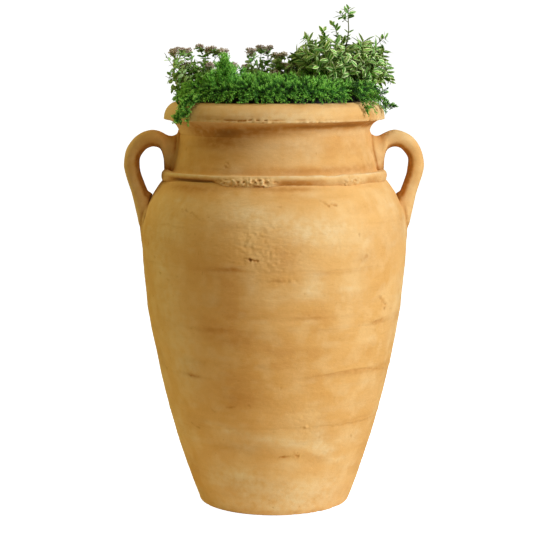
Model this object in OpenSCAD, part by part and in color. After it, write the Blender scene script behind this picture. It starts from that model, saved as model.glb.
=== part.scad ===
// Planted garden amphora: a clay jar built up in belts, with two strap handles,
// and a plastic liner of herbs that hangs in its mouth and lifts straight out.
// Millimetres, +Z up. The origin is on the ground, at the middle of the base.
// The handles stand to the left and right, along X, and the front faces -Y.

/* [Jar] */
// Height of the clay rim above the ground
jar_h = 600; // [580:5:640]
// Radius of the foot where it meets the ground
foot_r = 112.5; // [100:0.5:125]
// Largest radius of the belly
belly_r = 197.5; // [190:0.5:200]
// Height of the largest radius
belly_z = 400; // [380:5:420]
// Radius where the shoulder turns into the neck
neck_foot_r = 152; // [146:0.5:156]
// Smallest radius of the neck, just under the lip
waist_r = 141; // [138:0.5:145]
// Wall thickness of every belt
wall_t = 15; // [13:0.5:18]
// Thickness of the base slab
base_t = 18; // [14:1:24]
// Radius of the drain hole in the base slab
drain_r = 12; // [8:0.5:16]

/* [Lip] */
// Radius of the open mouth
mouth_r = 122; // [120:0.5:124]
// Radius of the rounded outer edge of the lip
lip_round = 23; // [20:0.5:25]

/* [Cordon] */
// Radius of the round strip that covers the neck joint
cordon_round = 8.7; // [7:0.1:9]

/* [Handles] */
// Half of the strap's width at the middle of the loop
strap_half_w = 18; // [14:0.5:22]
// Gap left between a handle and the wall, so that their faces don't cross
lute_gap = 0.1; // [0.05:0.05:0.3]

/* [Planting] */
// Outer radius of the liner's rolled lip
liner_lip_r = 130; // [128:0.5:134]
// Radius of the liner's side just under its lip
liner_top_r = 117; // [110:0.5:118]
// Radius of the liner's floor
liner_floor_r = 92; // [80:1:100]
// Depth of the liner below the rim
liner_depth = 170; // [150:5:180]
// Depth of the wider band under the liner's lip
liner_band = 26; // [20:1:40]
// Thickness of the liner's plastic
liner_t = 2.5; // [2:0.5:4]
// Height of the stonecrop's top above the rim
mat_h = 38; // [34:1:48]

/* [Hidden] */
$fn = 128;

clay = "#d9ab69";
pale_clay = "#dfb577";

// How quickly the wall swells above the foot and falls in over the shoulder
foot_curve = 1.76;
shoulder_curve = 2.2;
neck_foot_z = jar_h - 100;
waist_z = jar_h - 48;

// Outer heights of the joints between belts, from the base slab up to the neck
seams = [base_t, 140, 213, 286, 370, 432, jar_h - 108];
// Each joint but the lowest is cut at a slant, and ends this much higher inside
scarf = 6;
foot_edge = 3;

// The cordon is a round strip pressed on over the joint between shoulder and neck
cordon_c = [neck_foot_r + 7.5, jar_h - 109];
cordon_low_z = jar_h - 115;
cordon_high_z = jar_h - 102;

lip_c = [waist_r - 1, jar_h - lip_round];
lip_corner_a = -8;
mouth_edge = 3;

liner_lip_h = 10;
liner_step = 2;
liner_hole_r = 5;
compost_z = jar_h + 4;
mat_top_z = jar_h + mat_h;
mat_r = lip_c[0];

// Radius of the outer face of the wall, from the ground up to the waist of the neck
function swell_r(z) = belly_r - (belly_r - foot_r) * pow(1 - z / belly_z, foot_curve);
function shoulder_r(z) =
    let (part = (z - belly_z) / (neck_foot_z - belly_z))
    belly_r - (belly_r - neck_foot_r) * pow(part, shoulder_curve);
function neck_r(z) =
    neck_foot_r - (neck_foot_r - waist_r) * (z - neck_foot_z) / (waist_z - neck_foot_z);
function wall_r(z) = z <= belly_z ? swell_r(z) : z <= neck_foot_z ? shoulder_r(z) : neck_r(z);

// Points [radius, height] up the outer face, and up the inner face
function outer_line(low, high, steps) =
    [for (i = [0:steps]) let (z = low + (high - low) * i / steps) [wall_r(z), z]];
function inner_line(low, high, steps) =
    [for (p = outer_line(low, high, steps)) p - [wall_t, 0]];
function reversed(points) = [for (i = [len(points) - 1:-1:0]) points[i]];
function after_first(points) = [for (i = [1:len(points) - 1]) points[i]];
function arc(centre, radius, from, to, steps) =
    [for (i = [0:steps]) let (a = from + (to - from) * i / steps)
        centre + radius * [cos(a), sin(a)]];

// The stretches of wall that the cordon is pressed onto, below and above the joint
function cordon_low_line() = outer_line(cordon_low_z, seams[6], 2);
function cordon_high_line() = outer_line(seams[6], cordon_high_z, 2);

module base_slab() {
    edge = arc([foot_r - foot_edge + 1, foot_edge], foot_edge, -90, -10, 4);
    color(clay) difference() {
        rotate_extrude() polygon(concat([[0, 0]], edge, outer_line(6, base_t, 2), [[0, base_t]]));
        translate([0, 0, -1]) cylinder(h = base_t + 2, r = drain_r);
    }
}

// One belt of wall, from its lower joint to its upper joint
module belt(low, high, low_scarf, steps = 8) {
    color(clay) rotate_extrude() polygon(concat(
        outer_line(low, high, steps),
        reversed(inner_line(low + low_scarf, high + scarf, steps))));
}

module foot_belt() { belt(seams[0], seams[1], 0); }

module lower_belt() { belt(seams[1], seams[2], scarf); }

module middle_belt() { belt(seams[2], seams[3], scarf); }

module upper_belt() { belt(seams[3], seams[4], scarf); }

module belly_belt() { belt(seams[4], seams[5], scarf); }

module shoulder_belt() {
    color(clay) rotate_extrude() polygon(concat(
        outer_line(seams[5], cordon_low_z, 8),
        after_first(cordon_low_line()),
        reversed(inner_line(seams[5] + scarf, seams[6] + scarf, 8))));
}

module neck_collar() {
    color(clay) rotate_extrude() polygon(concat(
        cordon_high_line(),
        outer_line(neck_foot_z, waist_z, 3),
        reversed(inner_line(seams[6] + scarf, waist_z + scarf, 6))));
}

// The lip flares from the waist in a hollow curve to a sharp lower corner,
// rolls over in a round edge, and ends in a flat land around the mouth.
module rim_lip() {
    hollow_h = lip_c[1] + lip_round * sin(lip_corner_a) - waist_z;
    corner_r = lip_c[0] + lip_round * cos(lip_corner_a);
    hollow = [for (a = [0:15:90])
        [corner_r - (corner_r - waist_r) * cos(a), waist_z + hollow_h * sin(a)]];
    color(pale_clay) rotate_extrude() polygon(concat(
        hollow,
        arc(lip_c, lip_round, lip_corner_a, 90, 8),
        arc([mouth_r + mouth_edge, jar_h - mouth_edge], mouth_edge, 90, 180, 3),
        [[mouth_r, waist_z + 24], [wall_r(waist_z + scarf) - wall_t, waist_z + scarf]]));
}

module cordon() {
    seat = concat(cordon_low_line(), after_first(cordon_high_line()));
    low = seat[0] - cordon_c;
    high = seat[len(seat) - 1] - cordon_c;
    color(clay) rotate_extrude() polygon(concat(
        arc(cordon_c, cordon_round, atan2(low[1], low[0]) + 3, atan2(high[1], high[0]) - 3, 8),
        reversed(seat)));
}

// The strap is a row of oval sections, from inside the neck over the loop and down
// into the shoulder. Each has its outer edge, its inner edge, both as [distance from
// the jar's axis, depth below the rim], and its half width. Both roots are wiped out
// wider onto the wall.
strap_sections = [
    [[134, 53], [151, 110], strap_half_w + 10],
    [[146, 52], [160, 101], strap_half_w + 8],
    [[156, 51], [163, 90], strap_half_w + 4],
    [[165, 47], [163.5, 80], strap_half_w + 2],
    [[172, 44.2], [168, 72], strap_half_w],
    [[182, 43.2], [178, 67.5], strap_half_w],
    [[195, 47], [188, 70], strap_half_w],
    [[208, 56], [195, 77], strap_half_w],
    [[219, 73], [199, 84], strap_half_w],
    [[223.3, 93], [199.5, 92], strap_half_w],
    [[221, 108], [197.5, 107], strap_half_w],
    [[216, 124], [191.5, 125], strap_half_w],
    [[211.5, 138], [185, 142], strap_half_w + 1],
    [[207.5, 155], [180, 161], strap_half_w + 4],
    [[203, 176], [174, 184], strap_half_w + 8],
    [[195, 200], [168, 206], strap_half_w + 9]];
strap_steps = 3;
strap_sides = 18;

function section(i) = strap_sections[max(0, min(len(strap_sections) - 1, i))];
function smooth(a, b, c, d, t) =
    0.5 * (2 * b + (c - a) * t + (2 * a - 5 * b + 4 * c - d) * t * t
        + (3 * b - a - 3 * c + d) * t * t * t);
function between_sections(u, part) =
    let (i = floor(u))
    smooth(section(i - 1)[part], section(i)[part], section(i + 1)[part], section(i + 2)[part], u - i);
function strap_ring(u) =
    let (
        middle = (between_sections(u, 0) + between_sections(u, 1)) / 2,
        half = (between_sections(u, 0) - between_sections(u, 1)) / 2,
        half_w = between_sections(u, 2))
    [for (k = [0:strap_sides - 1])
        let (a = 360 * k / strap_sides, p = middle + half * cos(a))
        [p[0], half_w * sin(a), jar_h - p[1]]];

module strap() {
    rings = (len(strap_sections) - 1) * strap_steps;
    last = rings * strap_sides;
    points = [for (j = [0:rings]) each strap_ring(j / strap_steps)];
    sides = [for (j = [0:rings - 1], k = [0:strap_sides - 1])
        let (
            a = j * strap_sides + k,
            b = j * strap_sides + (k + 1) % strap_sides)
        each [[a, a + strap_sides, b], [b, a + strap_sides, b + strap_sides]]];
    ends = [for (k = [1:strap_sides - 2])
        each [[0, k, k + 1], [last, last + k + 1, last + k]]];
    polyhedron(points, concat(sides, ends));
}

// The strap, cut back to the faces that it is luted onto
module handle() {
    color(clay) difference() {
        strap();
        rotate_extrude() polygon(concat(
            [[0, belly_z - 60]],
            [for (p = concat(outer_line(belly_z - 60, neck_foot_z, 32),
                after_first(outer_line(neck_foot_z, waist_z, 3)))) p + [lute_gap, 0]],
            [[waist_r + lute_gap, waist_z + 6], [0, waist_z + 6]]));
        rotate_extrude() translate(cordon_c) circle(r = cordon_round + lute_gap);
    }
}

module handle_right() { handle(); }

module handle_left() { mirror([1, 0, 0]) handle(); }

// Points [radius, height] up the liner's side, moved in from its outer face
function liner_side(inset, from_z) = [
    [liner_floor_r - inset, from_z],
    [liner_top_r - liner_step - inset, jar_h - liner_band - liner_step],
    [liner_top_r - inset, jar_h - liner_band]];

// A thin tapered pot that hangs by its rolled lip from the land around the mouth
module liner_pot() {
    floor_z = jar_h - liner_depth;
    lip_z = jar_h + liner_lip_h;
    lip_roll = 4;
    color("#26282a") difference() {
        rotate_extrude() polygon(concat(
            [[0, floor_z]],
            liner_side(0, floor_z),
            [[liner_top_r, jar_h], [liner_lip_r, jar_h]],
            arc([liner_lip_r - lip_roll, lip_z - lip_roll], lip_roll, 0, 90, 6),
            [[liner_top_r - liner_t, lip_z]],
            reversed(liner_side(liner_t, floor_z + liner_t)),
            [[0, floor_z + liner_t]]));
        for (a = [45:90:315]) rotate(a) translate([liner_floor_r / 2, 0, floor_z - 1])
            cylinder(h = liner_t + 2, r = liner_hole_r);
    }
}

module compost() {
    floor_z = jar_h - liner_depth + liner_t;
    color("#4a3524") rotate_extrude() polygon(concat(
        [[0, floor_z]],
        liner_side(liner_t, floor_z),
        [[liner_top_r - liner_t, compost_z], [0, compost_z]]));
}

// A low cushion of stonecrop that fills the liner and spills over its lip
module stonecrop_mat() {
    lip_z = jar_h + liner_lip_h;
    inside_r = liner_top_r - liner_t;
    color("#3f8f2f") rotate_extrude() polygon(concat(
        [[0, compost_z], [inside_r, compost_z], [inside_r, lip_z], [liner_lip_r, lip_z],
            [liner_lip_r, lip_z - 4], [mat_r, lip_z - 4]],
        arc([mat_r - 16, mat_top_z - 16], 16, 0, 90, 4),
        [[0, mat_top_z]]));
}

// A round bush on the stonecrop: its place, its radius and the height of its crown
module bush(place, radius, crown) {
    half_h = (crown - mat_top_z) / 2;
    translate([place[0], place[1], mat_top_z]) rotate_extrude() polygon(concat(
        [[0, 0]],
        [for (a = [-70:20:70]) [radius * cos(a), half_h * (1 + sin(a))]],
        [[radius / 4, 2 * half_h], [0, 2 * half_h]]));
}

module marjoram_left() { color("#7d8a55") bush([-100, 22], 52, jar_h + 84); }

module marjoram_centre() { color("#8a8560") bush([-11, 24], 36, jar_h + 84); }

module fern_plume() { color("#4aa23a") bush([-72, -56], 17, jar_h + 76); }

module variegated_shrub() {
    color("#a9b87c") {
        bush([101, 16], 72, jar_h + 106);
        translate([105, 14, mat_top_z + 20]) cylinder(h = 85, r1 = 12, r2 = 9);
    }
}

// A sprig that hooks over the lip: the angles that it covers round the jar, how
// far it follows the lip's round edge, and how far it hangs below that
module trailing_sprig(from, to, reach, drop) {
    inner = lip_round + 3;
    outer = lip_round + 15;
    color("#55b043") rotate(from) rotate_extrude(angle = to - from) translate(lip_c) polygon(concat(
        arc([0, 0], inner, 90, reach, 6),
        drop > 0 ? [[inner, -drop], [outer, -drop]] : [],
        arc([0, 0], outer, reach, 90, 6)));
}

module trailing_sprig_left() { trailing_sprig(215, 227, 0, 17); }

module trailing_sprig_right() { trailing_sprig(-38, -4, 12, 0); }

base_slab();
foot_belt();
lower_belt();
middle_belt();
upper_belt();
belly_belt();
shoulder_belt();
neck_collar();
rim_lip();
cordon();
handle_left();
handle_right();
liner_pot();
compost();
stonecrop_mat();
marjoram_left();
marjoram_centre();
fern_plume();
variegated_shrub();
trailing_sprig_left();
trailing_sprig_right();
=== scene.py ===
"""Looks of the planted garden amphora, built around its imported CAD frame.

Shapes are worked out in millimetres and turned into metres when a mesh is made.
An angle round the jar is in degrees from its front (-Y), growing towards +X.
"""
import math

import bpy
import numpy as np
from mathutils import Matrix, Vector


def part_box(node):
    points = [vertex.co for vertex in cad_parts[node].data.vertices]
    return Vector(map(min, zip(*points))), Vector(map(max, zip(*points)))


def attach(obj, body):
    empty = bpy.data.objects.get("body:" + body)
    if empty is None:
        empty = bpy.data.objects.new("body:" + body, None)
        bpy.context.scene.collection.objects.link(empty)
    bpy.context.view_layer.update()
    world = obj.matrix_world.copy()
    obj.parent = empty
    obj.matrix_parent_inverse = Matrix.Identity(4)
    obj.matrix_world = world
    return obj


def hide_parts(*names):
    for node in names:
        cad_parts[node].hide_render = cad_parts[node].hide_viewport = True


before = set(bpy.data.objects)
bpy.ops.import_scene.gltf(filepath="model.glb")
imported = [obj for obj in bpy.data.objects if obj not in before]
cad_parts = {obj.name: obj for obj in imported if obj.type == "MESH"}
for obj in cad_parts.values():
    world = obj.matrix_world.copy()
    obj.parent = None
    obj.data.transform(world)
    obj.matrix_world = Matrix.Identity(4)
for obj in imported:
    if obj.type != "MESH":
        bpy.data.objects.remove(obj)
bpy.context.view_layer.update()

# ------------------------------------------------------------------ sizes


def low_corner(node):
    """The least x, y and z of a CAD node, in mm."""
    return np.array(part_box(node)[0]) * 1000


def high_corner(node):
    """The greatest x, y and z of a CAD node, in mm."""
    return np.array(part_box(node)[1]) * 1000


BELTS = ["foot_belt", "lower_belt", "middle_belt", "upper_belt", "belly_belt", "shoulder_belt"]
BELT_LOW = {name: low_corner(name)[2] for name in BELTS}
BASE_T = high_corner("base_slab")[2]
NECK_LOW = low_corner("neck_collar")[2]
WAIST_Z = low_corner("rim_lip")[2]
RIM_Z = high_corner("rim_lip")[2]
BELLY_R = high_corner("belly_belt")[0]
RIM_R = high_corner("rim_lip")[0]
CORDON_R = high_corner("cordon")[0]

# The outline of the wall: two power curves that meet at the belly, then a straight neck
FOOT_R = 112.5
BELLY_Z = 400.0
FOOT_CURVE = 1.76
SHOULDER_CURVE = 2.2
NECK_FOOT_R = 152.0
NECK_FOOT_Z = RIM_Z - 100
WAIST_R = 141.0
WALL_T = 15.0
SCARF = 6.0
DRAIN_R = 12.0
MOUTH_R = 122.0
LIP_ROUND = 23.0
LIP_C = (RIM_R - LIP_ROUND, RIM_Z - LIP_ROUND)

# How finely the clay is meshed: places round the jar, and mm between rows outside and inside
COLUMNS = 864
ROW_PITCH = 1.45
INNER_PITCH = 5.0
ANGLES = np.arange(COLUMNS) * 360.0 / COLUMNS


def wall_radius(z):
    """Radius of the jar's outer face at each height, from the ground to the waist of the neck."""
    z = np.asarray(z, float)
    swell = BELLY_R - (BELLY_R - FOOT_R) * np.clip(1 - z / BELLY_Z, 0, None) ** FOOT_CURVE
    part = np.clip((z - BELLY_Z) / (NECK_FOOT_Z - BELLY_Z), 0, None)
    shoulder = BELLY_R - (BELLY_R - NECK_FOOT_R) * part ** SHOULDER_CURVE
    neck = NECK_FOOT_R - (NECK_FOOT_R - WAIST_R) * (z - NECK_FOOT_Z) / (WAIST_Z - NECK_FOOT_Z)
    return np.where(z <= BELLY_Z, swell, np.maximum(shoulder, np.where(z > NECK_FOOT_Z - 4, neck, 0)))


# ------------------------------------------------------------------ noise

LATTICE_BITS = 16
LATTICE = np.random.default_rng(11).random(1 << LATTICE_BITS)


def noise(points, size, seed=0):
    """Smooth noise from -1 to 1 at each point. size is the width of its lumps, one number or one per axis."""
    at = points / np.asarray(size, float) + seed * 17.31
    cell = np.floor(at).astype(np.int64)
    t = at - cell
    t = t * t * (3 - 2 * t)
    total = np.zeros(points.shape[:-1])
    for corner in np.ndindex(2, 2, 2):
        key = np.zeros(points.shape[:-1], np.int64)
        weight = np.ones(points.shape[:-1])
        for axis, prime in enumerate((73856093, 19349663, 83492791)):
            key ^= (cell[..., axis] + corner[axis]) * prime
            weight = weight * (t[..., axis] if corner[axis] else 1 - t[..., axis])
        key ^= key >> LATTICE_BITS
        total += LATTICE[key & ((1 << LATTICE_BITS) - 1)] * weight
    return 2 * total - 1


def soft_step(value, low, high):
    """0 up to low, 1 from high, and an even slope between them."""
    t = np.clip((value - low) / (high - low), 0, 1)
    return t * t * (3 - 2 * t)


def bell(value, half, power=2):
    """1 where value is 0, fading out past half to both sides, more abruptly with a higher power."""
    return np.exp(-(value / half) ** power)


def around(angle, radius, height):
    """Points in space at these angles round the jar, distances from its axis and heights."""
    turn = np.radians(angle)
    return np.stack(np.broadcast_arrays(radius * np.sin(turn), -radius * np.cos(turn), height), -1)


def unit(vectors):
    """The vectors made one long."""
    return vectors / np.maximum(np.linalg.norm(vectors, axis=-1, keepdims=True), 1e-9)


def angle_gap(a, b):
    """Difference between two angles in degrees, from -180 to 180."""
    return (np.asarray(a) - b + 180) % 360 - 180


# ------------------------------------------------------------------ the clay's relief

# Where the belts' joints bend up or down: (angle, height, shift)
JOINT_BENDS = [
    (38, 213, 8), (76, 213, -4), (-46, 213, -2), (-40, 140, -5), (72, 139, -3), (20, 213, 1),
    (-70, 286, -8), (150, 213, 6), (-140, 286, 5), (120, 370, -5), (180, 140, 6)]

# Where the joints show clearly: (height of the joint, angle, reach in degrees, strength)
JOINT_SHOWS = [
    (213, 88, 12, 1.2), (140, -86, 12, 0.9), (140, 86, 10, 0.9), (286, -88, 12, 0.8), (213, 46, 34, 0.6),
    (213, -44, 16, 0.45), (140, 50, 26, 0.8), (140, -44, 14, 0.4), (370, -20, 12, 0.6), (370, 30, 24, 0.3),
    (286, -27, 14, 0.35), (286, 52, 12, 0.5), (213, 170, 60, 0.8), (140, -130, 50, 0.8),
    (286, 140, 50, 0.7), (370, -150, 50, 0.6), (432, 100, 40, 0.5), (432, -100, 30, 0.4)]

# Scratches and gouges: (angle, height, angle, height, depth, half width, height of the burr, stain)
SCRATCHES = [
    (-12.6, 388.8, -11.2, 388, 1.4, 1.1, 0.7, 1.4), (-10.4, 387, -9.4, 385.8, 2.6, 1.1, 0.9, 1.8),
    (-8.8, 386.6, -8.2, 385.2, 2.4, 1, 0.5, 1.8), (-7.2, 385.8, -6.6, 384.4, 2.6, 1, 0.8, 1.8),
    (21, 465.5, 24.2, 458, 1, 1.2, 0.5, 1), (25.6, 459.8, 28.2, 459, 0.8, 1.2, 0.4, 0.9),
    (51, 324, 56.6, 311, 1.3, 1.9, 0.7, 0.7), (55.6, 306.5, 56.6, 304, 0.8, 1.3, 0.3, 0.6),
    (48, 287, 56.5, 290.5, 0.7, 1.6, 0.5, 0.4), (50, 276.5, 51.2, 275, 0.6, 1.2, 0.2, 0.6),
    (-46, 213.5, -43, 211.6, 0.6, 1.4, 0.4, 0.2), (-43, 211.6, -38.5, 210.6, 0.6, 1.6, 0.4, 0.2),
    (-50, 134.6, -46, 132.4, 0.6, 1.2, 0.4, 0.6), (-46, 132.4, -44.8, 131.6, 1.4, 1.6, 0.6, 0.9),
    (-66.5, 213, -65, 211, 1, 1.6, 0.4, 0.6), (3, 96, 9, 97, 0.7, 1, 0.4, 0.9),
    (11.8, 98.6, 13.4, 96.4, 1.8, 1.5, 0.9, 0.9), (12.6, 101.4, 14.4, 99.6, 0.7, 1.2, 0.7, 0.5),
    (47, 117.4, 48, 116.6, 0.9, 1.3, 0.3, 0.7), (-26.5, 515, -25, 513, 0.8, 1.4, 0.4, 0.6),
    (-27.5, 511, -25.2, 508.6, 1, 1.5, 0.5, 0.7), (-44.5, 451, -41, 443, 1, 1.4, 0.6, 0.9),
    (-42, 450, -38.5, 446.5, 0.9, 1.2, 0.5, 0.8), (-38, 448, -33, 439, 0.6, 1.1, 0.3, 0.5),
    (-57, 427, -48, 429, 0.4, 0.9, 0.2, 0.3), (-50, 427.5, -41, 425.5, 0.5, 1, 0.3, 0.3),
    (-62, 379, -61, 377.6, 0.9, 1.3, 0.3, 0.6), (-58, 357.6, -57, 356.4, 0.9, 1.2, 0.3, 0.6),
    (-45, 356.4, -44.2, 355.8, 0.8, 1.2, 0.2, 0.6), (-52, 349, -50.6, 348.4, 0.7, 1.2, 0.2, 0.5),
    (-63, 306, -62, 304.5, 0.9, 1.3, 0.3, 0.5), (-24, 170.4, -20, 171.4, 0.5, 1.2, 0.3, 0.6),
    (-33, 165, -31.5, 161, 0.6, 1.2, 0.3, 0.5), (-13, 176, -12, 172, 0.5, 1.3, 0.3, 0.4),
    (14.6, 143.5, 16, 141.8, -0.9, 1.6, 0, 0.1), (16.4, 141.4, 18.4, 139.8, -1.1, 1.5, 0, 0.1),
    (18.6, 140.6, 19.2, 137.8, -0.7, 1.2, 0, 0.2), (38, 381.5, 41.5, 386.5, 0.4, 1.6, 0.3, 0.7),
    (160, 330, 168, 318, 1.3, 1.8, 0.6, 0.8), (140, 420, 146, 421, 0.9, 1.3, 0.4, 0.6),
    (-150, 250, -143, 252, 1, 1.4, 0.5, 0.7), (-120, 400, -118, 396, 2, 1.7, 0.7, 0.9),
    (-170, 120, -163, 117, 0.9, 1.4, 0.5, 0.7), (110, 180, 114, 172, 1, 1.5, 0.5, 0.7),
    (100, 300, 102, 298, 1.6, 1.6, 0.5, 0.8), (-95, 320, -93, 318.5, 1.2, 1.5, 0.4, 0.7)]

# Raised ridges left by the joining hand: (angle, height, angle, height, rise, half width)
RIDGES = [
    (-38, 142, -24, 134.5, 0.7, 2.6), (-24, 134.5, -5, 124, 0.25, 4), (-5, 124, 18, 104, 0.2, 5),
    (18, 104, 48, 70, 0.3, 4), (28, 221, 38, 223, 0.5, 2), (150, 180, 175, 160, 0.5, 4)]

# Warm brown zones and smears, and painted shadow in the zones at heights 546 to 556 under the lip and at 480
# to 482 under the cordon: (angle, height, reach in degrees, reach in height, strength)
BROWN_AND_SHADOW_ZONES = [
    (-34, 546, 17, 12, 1.15), (-12, 272, 13, 16, 0.35), (-8, 556, 15, 5, 0.6), (50, 556, 30, 7, 0.3),
    (55, 538, 24, 20, 0.45), (24, 536, 14, 14, 0.15), (-44, 480.5, 20, 5.5, 1), (8, 481.5, 16, 3, 0.8),
    (53, 482, 6, 2, 0.3), (46, 505, 20, 6, 0.45), (-20, 372.5, 9, 2.6, 0.5), (-17, 373, 4, 4, 0.35),
    (2, 357, 6, 2.4, 0.5), (4, 255, 9, 12, 0.4), (-27, 283, 12, 3, 0.35), (14, 304, 8, 2.2, 0.4),
    (16, 506, 26, 6, 0.7), (-34, 506, 12, 5, 0.2), (60, 506, 16, 9, 0.35), (40, 384, 4, 8, 0.4),
    (52, 289, 7, 4, 0.5), (-42, 212, 6, 4, 0.5), (4, 388, 9, 26, 0.5), (-18, 352, 9, 34, 0.45),
    (-20, 200, 16, 44, 0.4), (-24, 285, 14, 30, 0.35), (5, 96, 9, 4, 0.35), (-8, 528, 40, 18, 0.25),
    (28, 366, 18, 3, 0.3), (45, 143, 20, 4, 0.35), (46, 217, 26, 5, 0.45), (-20, 110, 14, 20, 0.2),
    (55, 400, 12, 34, 0.3), (-34, 340, 12, 50, 0.15), (18, 470, 26, 20, 0.15), (74, 440, 18, 40, 0.25),
    (150, 330, 30, 60, 0.4), (-140, 200, 30, 70, 0.35), (-110, 420, 30, 50, 0.3), (170, 480, 40, 24, 0.3),
    (110, 120, 30, 50, 0.3), (-170, 380, 24, 12, 0.4), (36, 25, 30, 12, 0.15), (-50, 60, 24, 34, 0.2)]

# Where the clay shrank into fine wrinkles and crumbs: the same five values
WRINKLED_ZONES = [
    (-9, 408, 12, 30, 1), (1, 384, 12, 22, 0.8), (5, 356.5, 8, 5, 1.3), (-34, 440, 16, 16, 0.5),
    (32, 396, 9, 12, 0.5), (-36, 510, 14, 8, 0.7), (-52, 352, 8, 30, 0.25), (50, 216, 22, 8, 0.6),
    (14, 170, 16, 30, 0.3), (54, 330, 14, 40, 0.25), (140, 300, 40, 60, 0.5), (-140, 300, 40, 60, 0.5)]

# Painted shadow in the dim hollow under the lip: the same five values
LIP_SHADOW_ZONES = [
    (-28, 560, 14, 9, 1.3), (-6, 564, 14, 6, 1), (18, 567.5, 16, 5, 1.2), (46, 568, 18, 5, 1.4),
    (72, 568, 12, 5, 1.1), (-50, 562, 10, 12, 0.9)]

# One narrow dark streak down the lip, below the right-hand spray
LIP_DARK_STREAK = (58, 588, 1.6, 10, 0.9)

# Pale zones where lime has bloomed on the clay, and zones low on the foot that make it paler towards the
# ground: the same five values
PALE_ZONES = [
    (0, 12, 70, 18, 0.5), (54, 195, 10, 14, 0.25), (44, 117, 14, 14, 0.3), (-62, 117, 12, 20, 0.3),
    (-24, 505, 9, 8, 0.5), (25, 132, 4, 20, 0.7), (29, 100, 7, 10, 0.65), (24, 112, 9, 8, 0.5),
    (40, 84, 9, 5, 0.5), (50, 68, 7, 5, 0.4), (-34, 142, 8, 4, 0.4), (-22, 133, 10, 6, 0.6),
    (-6, 124, 12, 8, 0.65), (10, 116, 10, 9, 0.65), (-14, 110, 12, 9, 0.35), (-9, 352, 3.5, 18, 0.5),
    (-8, 385, 3, 14, 0.3), (17, 352, 5, 22, 0.5), (5, 440, 16, 16, 0.5), (16, 420, 12, 12, 0.45),
    (26, 432, 10, 18, 0.5), (24, 404, 6, 14, 0.35), (40, 395, 7, 40, 0.4), (-14, 452, 12, 10, 0.35),
    (-24, 436, 8, 12, 0.3), (62, 455, 12, 18, 0.4), (34, 330, 9, 26, 0.3), (-52, 320, 12, 80, 0.35),
    (-44, 250, 10, 50, 0.3), (-30, 60, 18, 26, 0.5), (-8, 48, 24, 26, 0.6), (18, 36, 24, 22, 0.6),
    (40, 44, 16, 26, 0.4), (8, 82, 12, 10, 0.4), (-5, 540, 24, 9, 0.4), (6, 520, 14, 8, 0.3),
    (44, 165, 14, 12, 0.3), (-58, 400, 10, 50, 0.25), (130, 250, 30, 50, 0.4), (-130, 330, 30, 50, 0.4),
    (170, 150, 30, 50, 0.35), (-90, 150, 24, 50, 0.3), (100, 420, 24, 30, 0.3), (-165, 440, 26, 22, 0.3)]


def blobs(zones, angle, z):
    """Sum of soft round zones at each place."""
    total = np.zeros(np.broadcast(angle, z).shape)
    for at, height, wide, tall, strength in zones:
        total += strength * np.exp(-(angle_gap(angle, at) / wide) ** 2 - ((z - height) / tall) ** 2)
    return total


def joint_drift(angle, z):
    """How far the hand-made belts rise or dip from a level line at each place."""
    total = blobs([(at, height, 20, 30, shift) for at, height, shift in JOINT_BENDS], angle, z)
    total += 1.6 * noise(around(angle, 200.0, z), (60, 60, 90), 5)
    return total * soft_step(z, BASE_T, BASE_T + 40) * (1 - soft_step(z, 455, 480))


def segment_gap(angle, z, start_angle, start_z, end_angle, end_z):
    """Distance in mm, over the surface, from each place to a straight line between two places."""
    scale = math.pi / 180 * float(wall_radius(start_z))
    u = angle_gap(angle, start_angle) * scale
    v = z - start_z
    du = (end_angle - start_angle) * scale
    dv = end_z - start_z
    along = np.clip((u * du + v * dv) / (du * du + dv * dv), 0, 1)
    return np.hypot(u - along * du, v - along * dv)


def add_marks(angle, z, lift, brown):
    """Cuts the scratches and raises the ridges."""
    grit = noise(around(angle, 180.0, z), 3.2, 31)
    patchy = 0.75 + 0.6 * noise(around(angle, 180.0, z), 5.0, 32)
    for *ends, depth, half, burr, stain in SCRATCHES:
        near = np.abs(angle_gap(angle, (ends[0] + ends[2]) / 2)) < 12
        near = near & (np.abs(z - (ends[1] + ends[3]) / 2) < 22)
        if not near.any():
            continue
        gap = segment_gap(angle[near], z[near], *ends)
        ragged = gap + 1.1 * half * grit[near]
        lift[near] -= depth * patchy[near] * bell(ragged, half)
        lift[near] += burr * patchy[near] * bell(ragged - 1.9 * half, 0.8 * half)
        brown[near] += stain * patchy[near] * bell(ragged, 1.2 * half)
    for *ends, rise, half in RIDGES:
        lift += rise * bell(segment_gap(angle, z, *ends), half)


def add_joints(angle, z, row_z, lift, brown):
    """A rubbed step and a crease along each joint between belts, clear in places and wiped out in others."""
    for name in BELTS[1:]:
        joint = BELT_LOW[name]
        along = around(angle, 180.0, 0 * z + joint)
        off = row_z - joint + 1.3 * noise(along, 9, 41)
        clear = 0.12 + 0.3 * soft_step(noise(along, 70, 42), 0.1, 0.7)
        for height, at, reach, strength in JOINT_SHOWS:
            if abs(height - joint) < 6:
                clear = np.maximum(clear, strength * bell(angle_gap(angle, at), reach, 4))
        lift += clear * 0.65 * np.where(off > 0, np.exp(-off / 7), 0) * soft_step(off, -0.5, 1.0)
        lift -= clear * 0.5 * bell(off + 0.6, 1.2)
        brown += clear * 0.35 * bell(off + 0.8, 2.2)


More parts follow.
